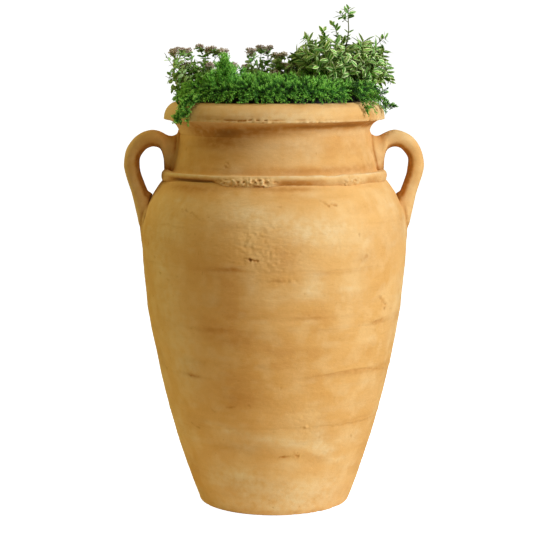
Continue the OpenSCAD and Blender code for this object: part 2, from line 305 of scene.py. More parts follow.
def clay_relief(angle, z, row_z):
    """Offset of the outer face in mm, how brown it is from stains and painted shadow (0 to 1, up to 2 for
    dark) and how pale (0 to 1).
    """
    radius = wall_radius(z)
    at = around(angle, radius, z)
    turn = np.radians(angle)
    lift = 0.8 * np.cos(2 * turn - 0.7) + 0.45 * np.cos(3 * turn + 1.1) + 0.7 * noise(at, (120, 120, 60), 1)
    lift += 0.45 * noise(at, (60, 60, 24), 2) + 0.22 * noise(at, (26, 26, 11), 3)
    rings = np.sin(2 * math.pi * (z + 2.5 * noise(at, (160, 160, 40), 4)) / 17.0)
    rings += 0.7 * np.sin(2 * math.pi * (z + 2.0 * noise(at, (160, 160, 40), 6)) / 11.3 + 1.0)
    lift += 0.055 * rings * (0.35 + soft_step(noise(at, (110, 110, 60), 7), -0.2, 0.6))
    drag = soft_step(noise(at, (60, 60, 22), 8), -0.15, 0.5)
    lift += 0.15 * drag * noise(at, (17, 17, 3.2), 9)
    sandy = soft_step(noise(at, (50, 50, 36), 10), 0.15, 0.65)
    wrinkled = np.clip(blobs(WRINKLED_ZONES, angle, z), 0, 1.3)
    lift += 0.2 * sandy * noise(at, (4.2, 4.2, 2.4), 11) + 0.04 * noise(at, 5.0, 12)
    lift += wrinkled * (0.36 * noise(at, (6.5, 6.5, 2.6), 21) + 0.46 * noise(at, (3.6, 3.6, 2.8), 22))
    sandy = np.maximum(sandy, wrinkled)
    pimples = np.clip(noise(at, 4.2, 13) - 0.7, 0, 1)
    lift += 1.2 * sandy * pimples
    pits = np.clip(noise(at, (5.5, 5.5, 4.0), 14) - 0.84, 0, 1)
    lift -= 2.6 * pits * soft_step(noise(at, 60, 15), -0.1, 0.4)
    brown = 0.9 * np.clip(pits * 5, 0, 1) + np.clip(-0.35 * rings * drag, 0, 1) * 0.15
    brown += 0.22 * soft_step(noise(at, (60, 60, 18), 16), 0.15, 0.8) + blobs(BROWN_AND_SHADOW_ZONES, angle, z)
    streak = soft_step(noise(at, (30, 30, 2.4), 17), 0.35, 0.9)
    brown += 0.08 * streak * drag
    pale = blobs(PALE_ZONES, angle, z) + 0.3 * soft_step(noise(at, (80, 80, 40), 18), 0.2, 0.8)
    pale += 0.25 * soft_step(-noise(at, (24, 24, 11), 19), 0.3, 0.9)
    add_joints(angle, z, row_z, lift, brown)
    add_marks(angle, z, lift, brown)
    return lift, np.clip(brown, 0, 2), np.clip(pale, 0, 1)


# ------------------------------------------------------------------ meshes


def in_scene(name, data):
    """A new object for a mesh, a lamp or a camera."""
    made = bpy.data.objects.new(name, data)
    bpy.context.scene.collection.objects.link(made)
    return made


def new_piece(name, points, faces, material, body, nodes=(), sharp=None, fields=None):
    """A mesh object, from points in mm and arrays of faces, that rides on a body and stands for CAD nodes."""
    mesh = bpy.data.meshes.new(name)
    mesh.vertices.add(len(points))
    mesh.vertices.foreach_set("co", (np.asarray(points) * 0.001).astype(np.float32).ravel())
    corners = np.concatenate([np.asarray(f).ravel() for f in faces]).astype(np.int32)
    totals = np.concatenate([np.full(len(f), len(f[0])) for f in faces])
    starts = np.concatenate([[0], np.cumsum(totals)[:-1]]).astype(np.int32)
    mesh.loops.add(len(corners))
    mesh.loops.foreach_set("vertex_index", corners)
    mesh.polygons.add(len(totals))
    mesh.polygons.foreach_set("loop_start", starts)
    mesh.polygons.foreach_set("use_smooth", np.ones(len(totals), bool))
    mesh.update(calc_edges=True)
    for field, values in (fields or {}).items():
        layer = mesh.attributes.new(field, "FLOAT", "POINT")
        layer.data.foreach_set("value", np.asarray(values, np.float32).ravel())
    if sharp is not None:
        ends = np.zeros(len(mesh.edges) * 2, np.int32)
        mesh.edges.foreach_get("vertices", ends)
        ends = sharp[ends.reshape(-1, 2)]
        mark = mesh.attributes.new("sharp_edge", "BOOLEAN", "EDGE")
        mark.data.foreach_set("value", (ends[:, 0] > 0) & (ends[:, 0] == ends[:, 1]))
    mesh.materials.append(MATERIALS[material])
    piece = in_scene(name, mesh)
    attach(piece, body)
    if nodes:
        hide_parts(*nodes)


def loop_faces(rows, columns, closed_rows=True):
    """Faces of a grid of rows that is closed along its columns, and along its rows if asked."""
    count = rows if closed_rows else rows - 1
    row = np.arange(count)[:, None]
    col = np.arange(columns)[None, :]
    above = (row + 1) % rows
    right = (col + 1) % columns
    grid = [row * columns + col, row * columns + right, above * columns + right, above * columns + col]
    return np.stack(np.broadcast_arrays(*grid), -1).reshape(-1, 4)


def clay_piece(node, points, faces, brown, pale, sharp=None):
    """A piece of the jar that stands for one node, with how brown (stains and painted shade) and how pale its
    clay is at each point.
    """
    fields = {"brown": np.clip(brown, 0, 2), "pale": np.clip(pale, 0, 1)}
    new_piece(node + "_clay", points, faces, "terracotta", "jar", [node], sharp, fields)


def angles_for(rows):
    """The angle round the jar at each place of a grid with this many rows."""
    return np.broadcast_to(ANGLES[None, :], (len(rows), COLUMNS))


class Band:
    """Part of a ring's section: rows of points round the jar with their colour fields."""

    def __init__(self, radius, height, brown=0.0, pale=0.0):
        shape = (len(height), COLUMNS)
        self.radius = np.broadcast_to(radius, shape)
        self.height = np.broadcast_to(height, shape)
        self.brown = np.broadcast_to(brown, shape)
        self.pale = np.broadcast_to(pale, shape)


def ring_piece(node, *bands):
    """A closed clay ring whose section is these bands, one after another."""
    radius = np.concatenate([b.radius for b in bands])
    height = np.concatenate([b.height for b in bands])
    points = around(ANGLES[None, :], radius, height).reshape(-1, 3)
    sharp = np.zeros(radius.shape, int)
    row = 0
    for number, band in enumerate(bands):
        sharp[row] = 2 * number + 1
        row += len(band.radius)
        sharp[row - 1] = 2 * number + 2
    clay_piece(node, points, [loop_faces(len(radius), COLUMNS)], np.concatenate([b.brown for b in bands]),
               np.concatenate([b.pale for b in bands]), sharp.ravel())


def outer_band(low, high):
    """The weathered outer face of the wall between two heights."""
    count = max(3, round((high - low) / ROW_PITCH))
    row_z = np.broadcast_to(np.linspace(low, high, count + 1)[:, None], (count + 1, COLUMNS))
    angle = angles_for(row_z)
    z = row_z + joint_drift(angle, row_z)
    radius = wall_radius(z)
    slope = wall_radius(z + 0.5) - wall_radius(z - 0.5)
    lift, brown, pale = clay_relief(angle, z, row_z)
    steep = 1 / np.hypot(1, slope)
    return Band(radius + lift * steep, z - lift * slope * steep, brown, pale)


def inner_band(low, high):
    """The inner face between two heights, from the top down, with the ridges that fingers left."""
    count = max(3, round((high - low) / INNER_PITCH))
    z = np.broadcast_to(np.linspace(high, low, count + 1)[:, None], (count + 1, COLUMNS))
    at = around(angles_for(z), 170.0, z)
    lift = 0.8 * np.sin(2 * math.pi * (z + 4 * noise(at, 120, 21)) / 23) + 0.9 * noise(at, (50, 50, 24), 22)
    return Band(wall_radius(z) - WALL_T - lift, z, 0.3 + 0.3 * noise(at, (60, 60, 12), 23), 0.15)


# ------------------------------------------------------------------ materials


class Nodes:
    """A tree of shader nodes, built one by one."""

    def __init__(self, tree):
        self.tree = tree

    def add(self, kind, inputs=None, **settings):
        """A new node of this kind, its inputs fed."""
        made = self.tree.nodes.new(kind)
        for key, value in settings.items():
            setattr(made, key, value)
        for key, value in (inputs or {}).items():
            self.feed(made.inputs[key], value)
        return made

    def feed(self, socket, value):
        """Links a socket to another node's output, or sets its number or its colour."""
        if isinstance(value, bpy.types.NodeSocket):
            self.tree.links.new(value, socket)
        else:
            socket.default_value = (*value, 1) if socket.type == "RGBA" else value

    def spread(self, value, low, high, to_low=0.0, to_high=1.0):
        """value, stretched from low..high to another range and held inside it."""
        inputs = {"Value": value, "From Min": low, "From Max": high, "To Min": to_low, "To Max": to_high}
        return self.add("ShaderNodeMapRange", inputs).outputs["Result"]

    def maths(self, operation, a, b):
        """A number worked out from two others."""
        return self.add("ShaderNodeMath", {0: a, 1: b}, operation=operation).outputs[0]

    def mix(self, share, a, b, blend="MIX"):
        """Colour a turned towards colour b by a share."""
        made = self.add("ShaderNodeMix", data_type="RGBA", blend_type=blend)
        for socket, value in ((0, share), (6, a), (7, b)):
            self.feed(made.inputs[socket], value)
        return made.outputs[2]


class Shader(Nodes):
    """A procedural material."""

    def __init__(self, name, **surface):
        self.material = bpy.data.materials.new(name)
        self.material.use_nodes = True
        super().__init__(self.material.node_tree)
        self.place = self.add("ShaderNodeTexCoord").outputs["Object"]
        self.set(**surface)

    def set(self, **surface):
        """Feeds sockets of the surface: their names in small letters, with _ for a space."""
        sockets = self.tree.nodes["Principled BSDF"].inputs
        for socket in sockets:
            name = socket.name.lower().replace(" ", "_")
            if name in surface:
                self.feed(socket, surface.pop(name))

    def field(self, name):
        """A number that the mesh carries at each point."""
        return self.add("ShaderNodeAttribute", attribute_name=name).outputs["Fac"]

    def grain(self, size_mm, detail=2.0, stretch=None):
        """Noise with lumps of this size in mm."""
        place = self.place
        if stretch:
            place = self.add("ShaderNodeMapping", {"Vector": place, "Scale": stretch}).outputs["Vector"]
        inputs = {"Vector": place, "Scale": 1000 / size_mm, "Detail": detail}
        return self.add("ShaderNodeTexNoise", inputs).outputs["Fac"]

    def shaded(self, colour, factor):
        """A colour made darker or lighter by a factor."""
        grey = self.add("ShaderNodeCombineColor", {0: factor, 1: factor, 2: factor}).outputs[0]
        return self.mix(1.0, colour, grey, "MULTIPLY")

    def bumps(self, *layers):
        """Layers of [height from 0 to 1, depth in mm], one on another."""
        normal = None
        for height, depth in layers:
            inputs = {"Height": height, "Distance": depth * 0.001, "Strength": 1.0}
            if normal is not None:
                inputs["Normal"] = normal
            normal = self.add("ShaderNodeBump", inputs).outputs["Normal"]
        self.set(normal=normal)


def terracotta():
    """Sandy, unglazed clay with brown creases and stains, painted shade in its hollows, pale bloom, a painted
    highlight on the cordon's ridge and the drag marks of a wet hand.
    """
    s = Shader("terracotta", specular_ior_level=0.25)
    body = s.mix(s.spread(s.grain(90, 3), 0.35, 0.65), (0.73, 0.395, 0.12), (0.79, 0.46, 0.165))
    streaks = s.spread(s.grain(14, 4, (0.5, 0.5, 1.2)), 0.42, 0.68)
    body = s.mix(s.maths("MULTIPLY", streaks, 0.24), body, (0.68, 0.335, 0.085))
    patches = s.spread(s.grain(30, 6), 0.47, 0.66)
    body = s.mix(s.maths("MULTIPLY", patches, 0.55), body, (0.83, 0.545, 0.24))
    # The pale field: pale bloom and patches, and a painted highlight along the cordon's ridge
    pale = s.maths("MULTIPLY", s.field("pale"), s.spread(s.grain(10, 6), 0.3, 0.6, 0.35, 1.05))
    body = s.mix(s.maths("MULTIPLY", pale, 0.95), body, (0.83, 0.625, 0.345))
    # The brown field: stains, smears, joints and scratches, and painted shade under the lip, under the cordon
    # and on the handles' inner faces
    stain_and_shade = s.maths("MULTIPLY", s.field("brown"), s.spread(s.grain(7, 4, (0.7, 0.7, 1)), 0.25, 0.6, 0.5, 1.0))
    body = s.mix(s.spread(s.maths("MULTIPLY", stain_and_shade, 0.85), 0, 1), body, (0.50, 0.205, 0.04))
    # Past 1.15 the brown field turns near black: the deepest painted shade, and the darkest cracks and pits
    body = s.mix(s.spread(s.field("brown"), 1.15, 2.2), body, (0.16, 0.07, 0.015))
    body = s.shaded(body, s.spread(s.grain(0.9, 3), 0.3, 0.7, 0.93, 1.06))
    specks = s.spread(s.grain(2.2, 1), 0.72, 0.8, 0.0, 0.25)
    s.set(base_color=s.mix(specks, body, (0.42, 0.18, 0.045)),
          roughness=s.spread(s.grain(5, 3), 0.3, 0.7, 0.82, 0.97))
    drag = s.grain(3.4, 4, (0.3, 0.3, 1))
    s.bumps((drag, 0.35), (s.grain(1.2, 3), 0.22), (s.grain(5.5, 3, (0.6, 0.6, 1)), 0.45))
    return s.material


def plastic():
    """Dull black injection-moulded plastic, dusty with compost."""
    s = Shader("liner_plastic", specular_ior_level=0.2)
    dust = s.spread(s.grain(16, 5), 0.5, 0.75, 0.0, 0.5)
    s.set(base_color=s.mix(dust, (0.006, 0.006, 0.0065), (0.03, 0.022, 0.015)),
          roughness=s.spread(s.grain(10, 4), 0.3, 0.7, 0.5, 0.75))
    s.bumps((s.grain(0.8, 2), 0.05), (s.grain(22, 2), 0.25))
    return s.material


def soil():
    """Dark, damp compost of shredded bark."""
    s = Shader("compost", roughness=0.95)
    s.set(base_color=s.mix(s.spread(s.grain(5, 6), 0.35, 0.7), (0.016, 0.009, 0.005), (0.1, 0.055, 0.028)))
    s.bumps((s.grain(2.5, 5), 1.2), (s.grain(8, 3, (1, 1, 0.4)), 1.5))
    return s.material


def foliage(name, dark, mid, light, roughness=0.5, edge=None):
    """Living leaves: each leaf's shade, which carries painted shade and light, a little mottling, and a cream
    margin if asked, dulled on deep leaves as painted shade.
    """
    s = Shader(name, specular_ior_level=0.35)
    shade = s.field("shade")
    leaf = s.mix(s.spread(shade, 0.06, 0.5), dark, mid)
    leaf = s.mix(s.spread(shade, 0.5, 1.0), leaf, light)
    leaf = s.shaded(leaf, s.spread(s.grain(2.5, 3), 0.35, 0.65, 0.82, 1.15))
    if edge is not None:
        ragged = s.maths("ADD", s.field("edge"), s.spread(s.grain(3.0, 3), 0.3, 0.7, -0.22, 0.22))
        # Painted shade: the margin turns dull green on the leaves deep in a plant
        cream = s.mix(s.spread(shade, 0.36, 0.64), (0.33, 0.5, 0.14), edge)
        leaf = s.mix(s.spread(ragged, 0.3, 0.5), leaf, cream)
    s.set(base_color=leaf, roughness=s.spread(s.grain(4, 2), 0.3, 0.7, roughness - 0.1, roughness + 0.12))
    s.bumps((s.grain(1.2, 2), 0.12))
    return s.material


# The leaves' colours deep in a plant, in its middle and at its tips, the darkest as painted shade and the
# lightest as painted light, and some roughnesses and a margin
LEAVES = {
    "stonecrop": ((0.004, 0.028, 0.002), (0.055, 0.25, 0.015), (0.32, 0.74, 0.1)),
    "fern": ((0.01, 0.08, 0.006), (0.12, 0.45, 0.03), (0.36, 0.78, 0.13)),
    "trailing": ((0.004, 0.032, 0.002), (0.07, 0.3, 0.018), (0.36, 0.72, 0.11)),
    "marjoram": ((0.05, 0.15, 0.02), (0.28, 0.54, 0.12), (0.64, 0.82, 0.4)),
    "flowers": ((0.16, 0.11, 0.06), (0.57, 0.43, 0.35), (0.88, 0.8, 0.7), 0.8),
    "variegated": ((0.006, 0.04, 0.003), (0.06, 0.25, 0.016), (0.2, 0.5, 0.05), 0.45, (0.84, 0.96, 0.46)),
    "stems": ((0.04, 0.05, 0.015), (0.12, 0.13, 0.04), (0.24, 0.2, 0.09), 0.7)}

MATERIALS = {"terracotta": terracotta(), "liner_plastic": plastic(), "compost": soil()}
MATERIALS |= {name: foliage(name, *looks) for name, looks in LEAVES.items()}

# ------------------------------------------------------------------ the jar


def polyline_rows(points, pitch, rounding):
    """The outline through these [radius, height] points at an even pitch, its corners rounded a little."""
    points = np.array(points)
    run = np.concatenate([[0], np.cumsum(np.hypot(*np.diff(points, axis=0).T))])
    at = np.linspace(0, run[-1], round(run[-1] / pitch) + 1)
    rows = np.stack([np.interp(at, run, points[:, 0]), np.interp(at, run, points[:, 1])], -1)
    for _ in range(rounding):
        rows[1:-1] = (rows[:-2] + 2 * rows[1:-1] + rows[2:]) / 4
    return rows, at


def arc(x, z, wide, tall, start, end, count):
    """Points along part of an ellipse, between two angles in degrees."""
    turns = np.radians(np.linspace(start, end, count))
    return [(x + wide * math.cos(turn), z + tall * math.sin(turn)) for turn in turns]


def relief_band(rows, lift, brown, pale):
    """An outline that runs up the outside, turned round the jar and raised along its normals by lift."""
    along = np.gradient(rows, axis=0)
    normal = unit(np.stack([along[:, 1], -along[:, 0]], -1))
    return Band(rows[:, :1] + normal[:, :1] * lift, rows[:, 1:] + normal[:, 1:] * lift, brown, pale)


def base_slab():
    """The disc that the jar stands on, its lower edge rounded and chipped, with the drain hole."""
    edge = 5.0
    corner = arc(FOOT_R - edge + 1.2, edge, edge, edge, -90, -8, 8)
    wall = [(float(wall_radius(z)), z) for z in (9, BASE_T)]
    rows = polyline_rows(corner + wall, 1.1, 1)[0]
    angle = angles_for(rows)
    z = np.broadcast_to(rows[:, 1:], angle.shape)
    lift, brown, pale = clay_relief(angle, z, z)
    chips = np.clip(noise(around(angle, FOOT_R, z), (9, 9, 5), 51) - 0.35, 0, 1) * bell(z - 1, 4)
    lift = lift * soft_step(z, -1, 8) - 3.0 * chips
    outside = relief_band(rows, lift, brown + chips, pale)
    outside.height = np.maximum(outside.height, 0.0)
    top_r = np.linspace(rows[-1, 0] - 1.5, DRAIN_R + 1.5, 26)[:, None]
    hump = 0.5 * noise(around(ANGLES[None, :], top_r, BASE_T), 24, 52)
    top = Band(top_r, BASE_T - 0.02 + hump * soft_step(FOOT_R - WALL_T - top_r, 0, 10), 0.35, 0.1)
    hole = Band(DRAIN_R, np.linspace(BASE_T - 1.5, 1.5, 8)[:, None], 0.3, 0.1)
    under = Band(np.linspace(DRAIN_R + 1.5, rows[0, 0] - 1, 14)[:, None], np.zeros((14, 1)), 0.3, 0.2)
    ring_piece("base_slab", outside, top, hole, under)


def belts():
    """The six belts of wall below the neck, each scarfed onto the last."""
    highs = [BELT_LOW[name] for name in BELTS[1:]] + [NECK_LOW]
    for name, high in zip(BELTS, highs):
        low = BELT_LOW[name]
        foot = low if name == "foot_belt" else low + SCARF
        ring_piece(name, outer_band(low, high), inner_band(foot, high + SCARF))


def neck_collar():
    """The straight neck, set on the shoulder."""
    ring_piece("neck_collar", outer_band(NECK_LOW, WAIST_Z), inner_band(NECK_LOW + SCARF, WAIST_Z + SCARF))


def rim_lip():
    """The lip flares from the waist, turns over in a round edge above a burr, and ends at the mouth."""
    roll = arc(*LIP_C, LIP_ROUND, LIP_ROUND, -8, 90, 30)
    corner = roll[0]
    hollow = arc(corner[0], WAIST_Z, WAIST_R - corner[0], corner[1] - WAIST_Z, 0, 90, 24)
    mouth = arc(MOUTH_R + 3, RIM_Z - 3, 3, 3, 90, 180, 8)
    inner_r = float(wall_radius(WAIST_Z)) - WALL_T - 1.3
    inside = [(MOUTH_R, RIM_Z - 24), (inner_r, WAIST_Z + SCARF)]
    rows, run = polyline_rows(hollow + roll[1:] + mouth + inside, 1.15, 2)
    run = run[:, None]
    angle = angles_for(rows)
    at = around(angle, rows[:, :1], rows[:, 1:])
    waist_z = np.array([[WAIST_Z]])
    start, start_brown, start_pale = clay_relief(ANGLES[None, :], waist_z, waist_z)
    lift = 0.7 * noise(at, (90, 90, 60), 61) + 0.35 * noise(at, (34, 34, 16), 62) + 0.1 * noise(at, 7, 63)
    lift += 0.16 * noise(at, (50, 50, 4.5), 64) + 0.07 * noise(at, 3.2, 65)
    corner_run = run[np.argmax(rows[:, 0] > corner[0] - 0.8)]
    burr = bell(run - corner_run - 0.3, 1.8)
    torn = soft_step(noise(at * (1, 1, 0), (34, 34, 34), 66), -0.25, 0.45)
    torn = np.maximum(torn, bell(angle_gap(angle, -16), 20, 4))
    lift += burr * (0.55 + torn * (1.1 * noise(at, 3.4, 67) + 0.7 * noise(at, (9, 9, 9), 68)))
    crack = bell(run - corner_run - 3.4 - 0.8 * noise(at * (1, 1, 0), 14, 78), 0.85)
    crack *= soft_step(noise(at * (1, 1, 0), (3.6, 3.6, 3.6), 79), -0.4, 0.2)
    crack *= 0.25 + 0.75 * bell(angle_gap(angle, -8), 22, 4)
    lift -= 1.8 * crack * torn
    stop = np.exp(-run / 5.0)
    lift = start * stop + lift * (1 - stop)
    lift = lift * np.clip((run[-1] - run) / 12, 0, 1)
    deep = np.clip(-noise(at, 3.4, 67) - 0.35, 0, 1) * burr * torn
    brown = 0.15 + 1.9 * crack * torn + 3.0 * deep + blobs([LIP_DARK_STREAK], angle, rows[:, 1:])
    brown += 0.35 * soft_step(noise(at, (60, 60, 8), 69), 0.2, 0.8)
    brown = start_brown * stop + brown * (1 - stop)
    # Painted shadow under the lip, on its underside only
    brown += blobs(LIP_SHADOW_ZONES, angle, rows[:, 1:]) * soft_step(corner_run - run, 0.5, 3.0)
    pale = 0.42 + 0.3 * noise(at, (60, 60, 18), 70) + 0.35 * burr
    pale = start_pale * stop + pale * (1 - stop)
    ring_piece("rim_lip", relief_band(rows, lift, brown, pale))


# Where the cordon is crumbled, and where it is undercut: (angle, reach in degrees, power, strength)
CORDON_TEARS = [(-15, 15, 6, 1), (41, 6, 4, 0.8), (67, 4, 4, 0.35), (150, 20, 6, 0.9), (-120, 14, 4, 0.7)]
CORDON_UNDERCUTS = [(-46, 22, 4, 5.6), (11, 15, 6, 2.6), (56, 6, 4, 1.2)]


def stretches(listed, angle):
    """Sum of listed stretches of the cordon at each angle."""
    return sum(strength * bell(angle_gap(angle, at), reach, power) for at, reach, power, strength in listed)


def cordon():
    """A strip of clay pressed round the joint, crumbled where it dried too fast."""
    radius = (CORDON_R - NECK_FOOT_R) - 7.5
    centre = (NECK_FOOT_R + 7.5, NECK_LOW - 1)
    rows = np.array(arc(*centre, radius, radius, -62, 146, 40))
    turns = np.radians(np.linspace(-62, 146, 40))[:, None]
    angle = angles_for(rows)
    at = around(angle, rows[:, :1], rows[:, 1:])
    lift = 0.8 * np.cos(2 * np.radians(angle) - 0.7) + 0.6 * noise(at * (1, 1, 0), 46, 71)
    lift += 0.4 * noise(at, (16, 16, 8), 72) + 0.08 * noise(at, 3, 73)
    from_handle = np.abs(angle_gap(angle, 0)) - 90
    ends = bell(from_handle, 24, 4)
    ridge = bell(turns - math.radians(58), 0.26) * (1 - ends)
    flat = bell(turns - math.radians(-14), 0.74, 4)
    face = bell(turns - math.radians(-10), 0.85, 4)
    torn = stretches(CORDON_TEARS, angle)
    undercut = stretches(CORDON_UNDERCUTS, angle)
    undercut += 2.6 * soft_step(from_handle, -10, 10)
    undercut = undercut * (1 - 0.75 * torn) * (1 - 0.8 * ends) + 0.6 * noise(at * (1, 1, 0), 30, 77)
    lift += 1.3 * ridge - undercut * flat - 1.6 * bell(angle_gap(angle, 30), 5, 4)
    smeared = ends * (1 - bell(from_handle, 8))
    lift += smeared * (2.4 * bell(turns + 0.65, 0.4) + 0.6 * noise(at, (5, 5, 14), 78))
    crumbs = noise(at, (3.4, 3.4, 2.6), 74) + 0.6 * noise(at, 2.2, 75)
    lift += torn * face * (1.7 * crumbs + 0.6)
    lift -= 2.2 * torn * face * np.clip(-crumbs - 0.35, 0, 1)
    brown = 0.1 + 1.6 * torn * face * np.clip(-crumbs - 0.25, 0, 1)
    # Painted shade: browner on the flat, undercut face below the ridge
    brown += 0.33 * undercut * flat * (1 - 0.6 * torn) + 0.25 * flat * (1 - torn)
    # Painted highlight: paler along the ridge
    pale = 0.25 + 0.8 * ridge * (1 - 0.5 * torn) + 0.6 * torn * face * np.clip(crumbs + 0.2, 0, 1)
    ring_piece("cordon", relief_band(rows, lift, brown, pale))


# The right-hand strap's sections: [distance from the axis, depth below the rim] of the outer edge
# and of the inner edge, and how much the strap is widened there
STRAP = [((134, 53), (150, 118), 10), ((146, 52), (160, 113), 8), ((156, 51), (163, 103), 4),
         ((165, 47), (163.5, 86), 2), ((172, 44.2), (168, 72), 0), ((182, 43.2), (178, 67.5), 0),
         ((195, 47), (188, 70), 0), ((208, 56), (195, 77), 0), ((219, 73), (199, 84), 0),
         ((223.3, 93), (199.5, 92), 0), ((221, 108), (197.5, 107), 0), ((216, 124), (191.5, 125), 0),
         ((211.5, 138), (185, 142), 1), ((207.5, 155), (180, 161), 4), ((202.5, 177), (174, 185), 8),
         ((199.3, 198), (171, 206), 10), ((195.5, 224), (168, 228), 10)]
STRAP_HALF_W = 18.0
STRAP_SQUARE = 0.82


def through(values, where):
    """A smooth curve through rows of values, read at fractional row numbers."""
    values = np.asarray(values, float)
    last = len(values) - 1
    i = np.clip(np.floor(where).astype(int), 0, last - 1)
    t = (where - i)[:, None]
    a, b, c, d = (values[np.clip(i + k, 0, last)] for k in (-1, 0, 1, 2))
    bend = 2 * a - 5 * b + 4 * c - d
    twist = 3 * b - a - 3 * c + d
    return 0.5 * (2 * b + (c - a) * t + bend * t ** 2 + twist * t ** 3)


def strap_points(rings, sides):
    """Rings of points along the right-hand strap, and the outward direction at each."""
    where = np.linspace(0, len(STRAP) - 1, rings)
    table = through([[*outer, *inner, STRAP_HALF_W + extra] for outer, inner, extra in STRAP], where)
    middle = (table[:, 0:2] + table[:, 2:4]) / 2
    half = (table[:, 0:2] - table[:, 2:4]) / 2
    turn = 2 * math.pi * np.arange(sides) / sides
    across_it, along_it = (np.sign(f) * np.abs(f) ** STRAP_SQUARE for f in (np.cos(turn), np.sin(turn)))
    x = middle[:, :1] + half[:, :1] * across_it
    depth = middle[:, 1:] + half[:, 1:] * across_it
    y = table[:, 4:5] * along_it * (1 - 0.4 * soft_step(depth, 70, 108) * soft_step(-x, -172, -160))
    points = np.stack([x, y, RIM_Z - depth], -1)
    across = np.stack([half[:, 0], 0 * half[:, 0], -half[:, 1]], -1)[:, None, :]
    size = np.linalg.norm(across, axis=-1, keepdims=True)
    outward = across / size ** 2 * np.cos(turn)[None, :, None]
    outward[..., 1] += np.sin(turn)[None, :] / table[:, 4:5]
    return points, unit(outward)


def strap_faces(rings, sides, side):
    """Faces of the strap's skin and of its two ends, turned over on the mirrored strap."""
    ring = np.arange(sides)
    after = (ring + 1) % sides
    hub, last = rings * sides, (rings - 1) * sides
    caps = [np.stack([0 * ring + hub, after, ring], -1),
            np.stack([0 * ring + hub + 1, last + ring, last + after], -1)]
    skin = loop_faces(rings, sides, closed_rows=False)
    return [faces[:, ::side] for faces in (skin, np.concatenate(caps))]


def smear(points, outward, clear, inner, mirrored):
    """Flares the strap where it meets the wall, and fills the bottom of its loop with wiped clay."""
    wall_out = points * (1, 1, 0) / np.hypot(points[..., 0], points[..., 1])[..., None]
    along_wall = outward - wall_out * np.sum(outward * wall_out, -1, keepdims=True)
    reach = 11.0
    left = np.clip(reach - clear, 0, reach)
    flare = reach - np.sqrt(np.maximum(reach ** 2 - left ** 2, 0))
    flare *= 0.75 + 0.5 * noise(mirrored, 22, 81)
    points = points + along_wall * flare[..., None]
    web = soft_step(-clear, -8.5, -2.0) * np.clip(clear + 2, 0, None) * soft_step(inner, -0.1, 0.5)
    return points - wall_out * (web * (points[..., 2] < 480))[..., None]


def handle(node, side):
    """A pulled strap, its two roots wiped out onto the neck and the shoulder."""
    rings, sides = 260, 96
    points, outward = strap_points(rings, sides)
    clear = np.hypot(points[..., 0], points[..., 1]) - wall_radius(np.minimum(points[..., 2], WAIST_Z))
    clear = clear * np.where(points[..., 2] < 500, 0.85, 1.0)
    inner = np.broadcast_to(-np.cos(2 * math.pi * np.arange(sides) / sides), clear.shape)
    mirrored = points * (side, 1, 1)
    points = smear(points, outward, clear, inner, mirrored)
    groove = 0.5 * noise(mirrored, (30, 9, 30), 82) + 0.45 * noise(mirrored, (16, 16, 16), 83)
    lift = groove + 0.12 * noise(mirrored, 4.5, 84) + 0.5 * noise(mirrored, 40, 85)
    crease = bell(clear - 2.5, 1.3) * soft_step(noise(mirrored, (14, 14, 22), 86), -0.5, 0.2)
    points = points + outward * (lift - 2.0 * crease)[..., None]
    points = points * (side, 1, 1)
    points[..., 0] = np.clip(points[..., 0], low_corner("handle_left")[0], high_corner("handle_right")[0])
    # Painted shade: browner on the strap's inner face, which turns to the jar, in the crease at its roots and
    # where it runs close to the wall
    brown = 0.15 + 1.15 * soft_step(inner, 0.2, 0.6) + 0.6 * crease + 0.2 * (clear < 6)
    brown += 0.3 * soft_step(noise(points, (30, 30, 12), 87), 0.1, 0.8)
    pale = 0.25 + 0.3 * noise(points, 40, 88)
    kept = ~(clear < -4.0).all(axis=1)
    first, last = np.argmax(kept), len(kept) - np.argmax(kept[::-1])
    points, brown, pale = points[first:last], brown[first:last], pale[first:last]
    ends = points[[0, -1]].mean(axis=1)
    flat = np.concatenate([points.reshape(-1, 3), ends])
    faces = strap_faces(len(points), sides, side)
    clay_piece(node, flat, faces, np.append(brown, [0.3, 0.3]), np.append(pale, [0, 0]))


# ------------------------------------------------------------------ growing things

UP = np.array([0.0, 0.0, 1.0])
GOLDEN = math.radians(137.508)


def axes(direction, face_to):
    """For each growth direction, the axes across, out of the face and along, the face turned to face_to."""
    along = unit(direction)
    across = np.cross(np.broadcast_to(face_to, along.shape), along)
    weak = np.linalg.norm(across, axis=-1, keepdims=True) < 1e-3
    across = unit(np.where(weak, np.cross([1.0, 0.1, 0.0], along), across))
    return np.stack([across, np.cross(along, across), along], -2)


def sideways(along, spin, start_side):
    """Directions square to along, at an angle round it from a starting side."""
    frames = axes(along, start_side)
    return np.cos(spin)[..., None] * frames[..., 0, :] + np.sin(spin)[..., None] * frames[..., 1, :]


def stations(paths, where):
    """Points on each path, where counts its steps, and the path's direction there."""
    before = np.minimum(where.astype(int), paths.shape[1] - 2)
    which = np.arange(len(paths)).reshape((-1,) + (1,) * (where.ndim - 1))
    step = paths[which, before + 1] - paths[which, before]
    return paths[which, before] + step * (where - before)[..., None], unit(step)


def at_height(flat, height):
    """Points [x, y] raised to a height."""
    return np.column_stack([flat, np.broadcast_to(height, len(flat))])


def fan_solid(rows, sides):
    """Triangles of a solid with a first point, rows of sides points, and a last point."""
    ring = np.arange(sides)
    after = (ring + 1) % sides
    last = 1 + rows * sides
    start = np.stack([0 * ring, 1 + after, 1 + ring], -1)
    end = np.stack([0 * ring + last, last - sides + ring, last - sides + after], -1)
    faces = [start, end]
    for row in range(rows - 1):
        low, high = 1 + row * sides, 1 + (row + 1) * sides
        faces.append(np.stack([low + ring, low + after, high + after], -1))
        faces.append(np.stack([low + ring, high + after, high + ring], -1))
    return np.concatenate(faces)


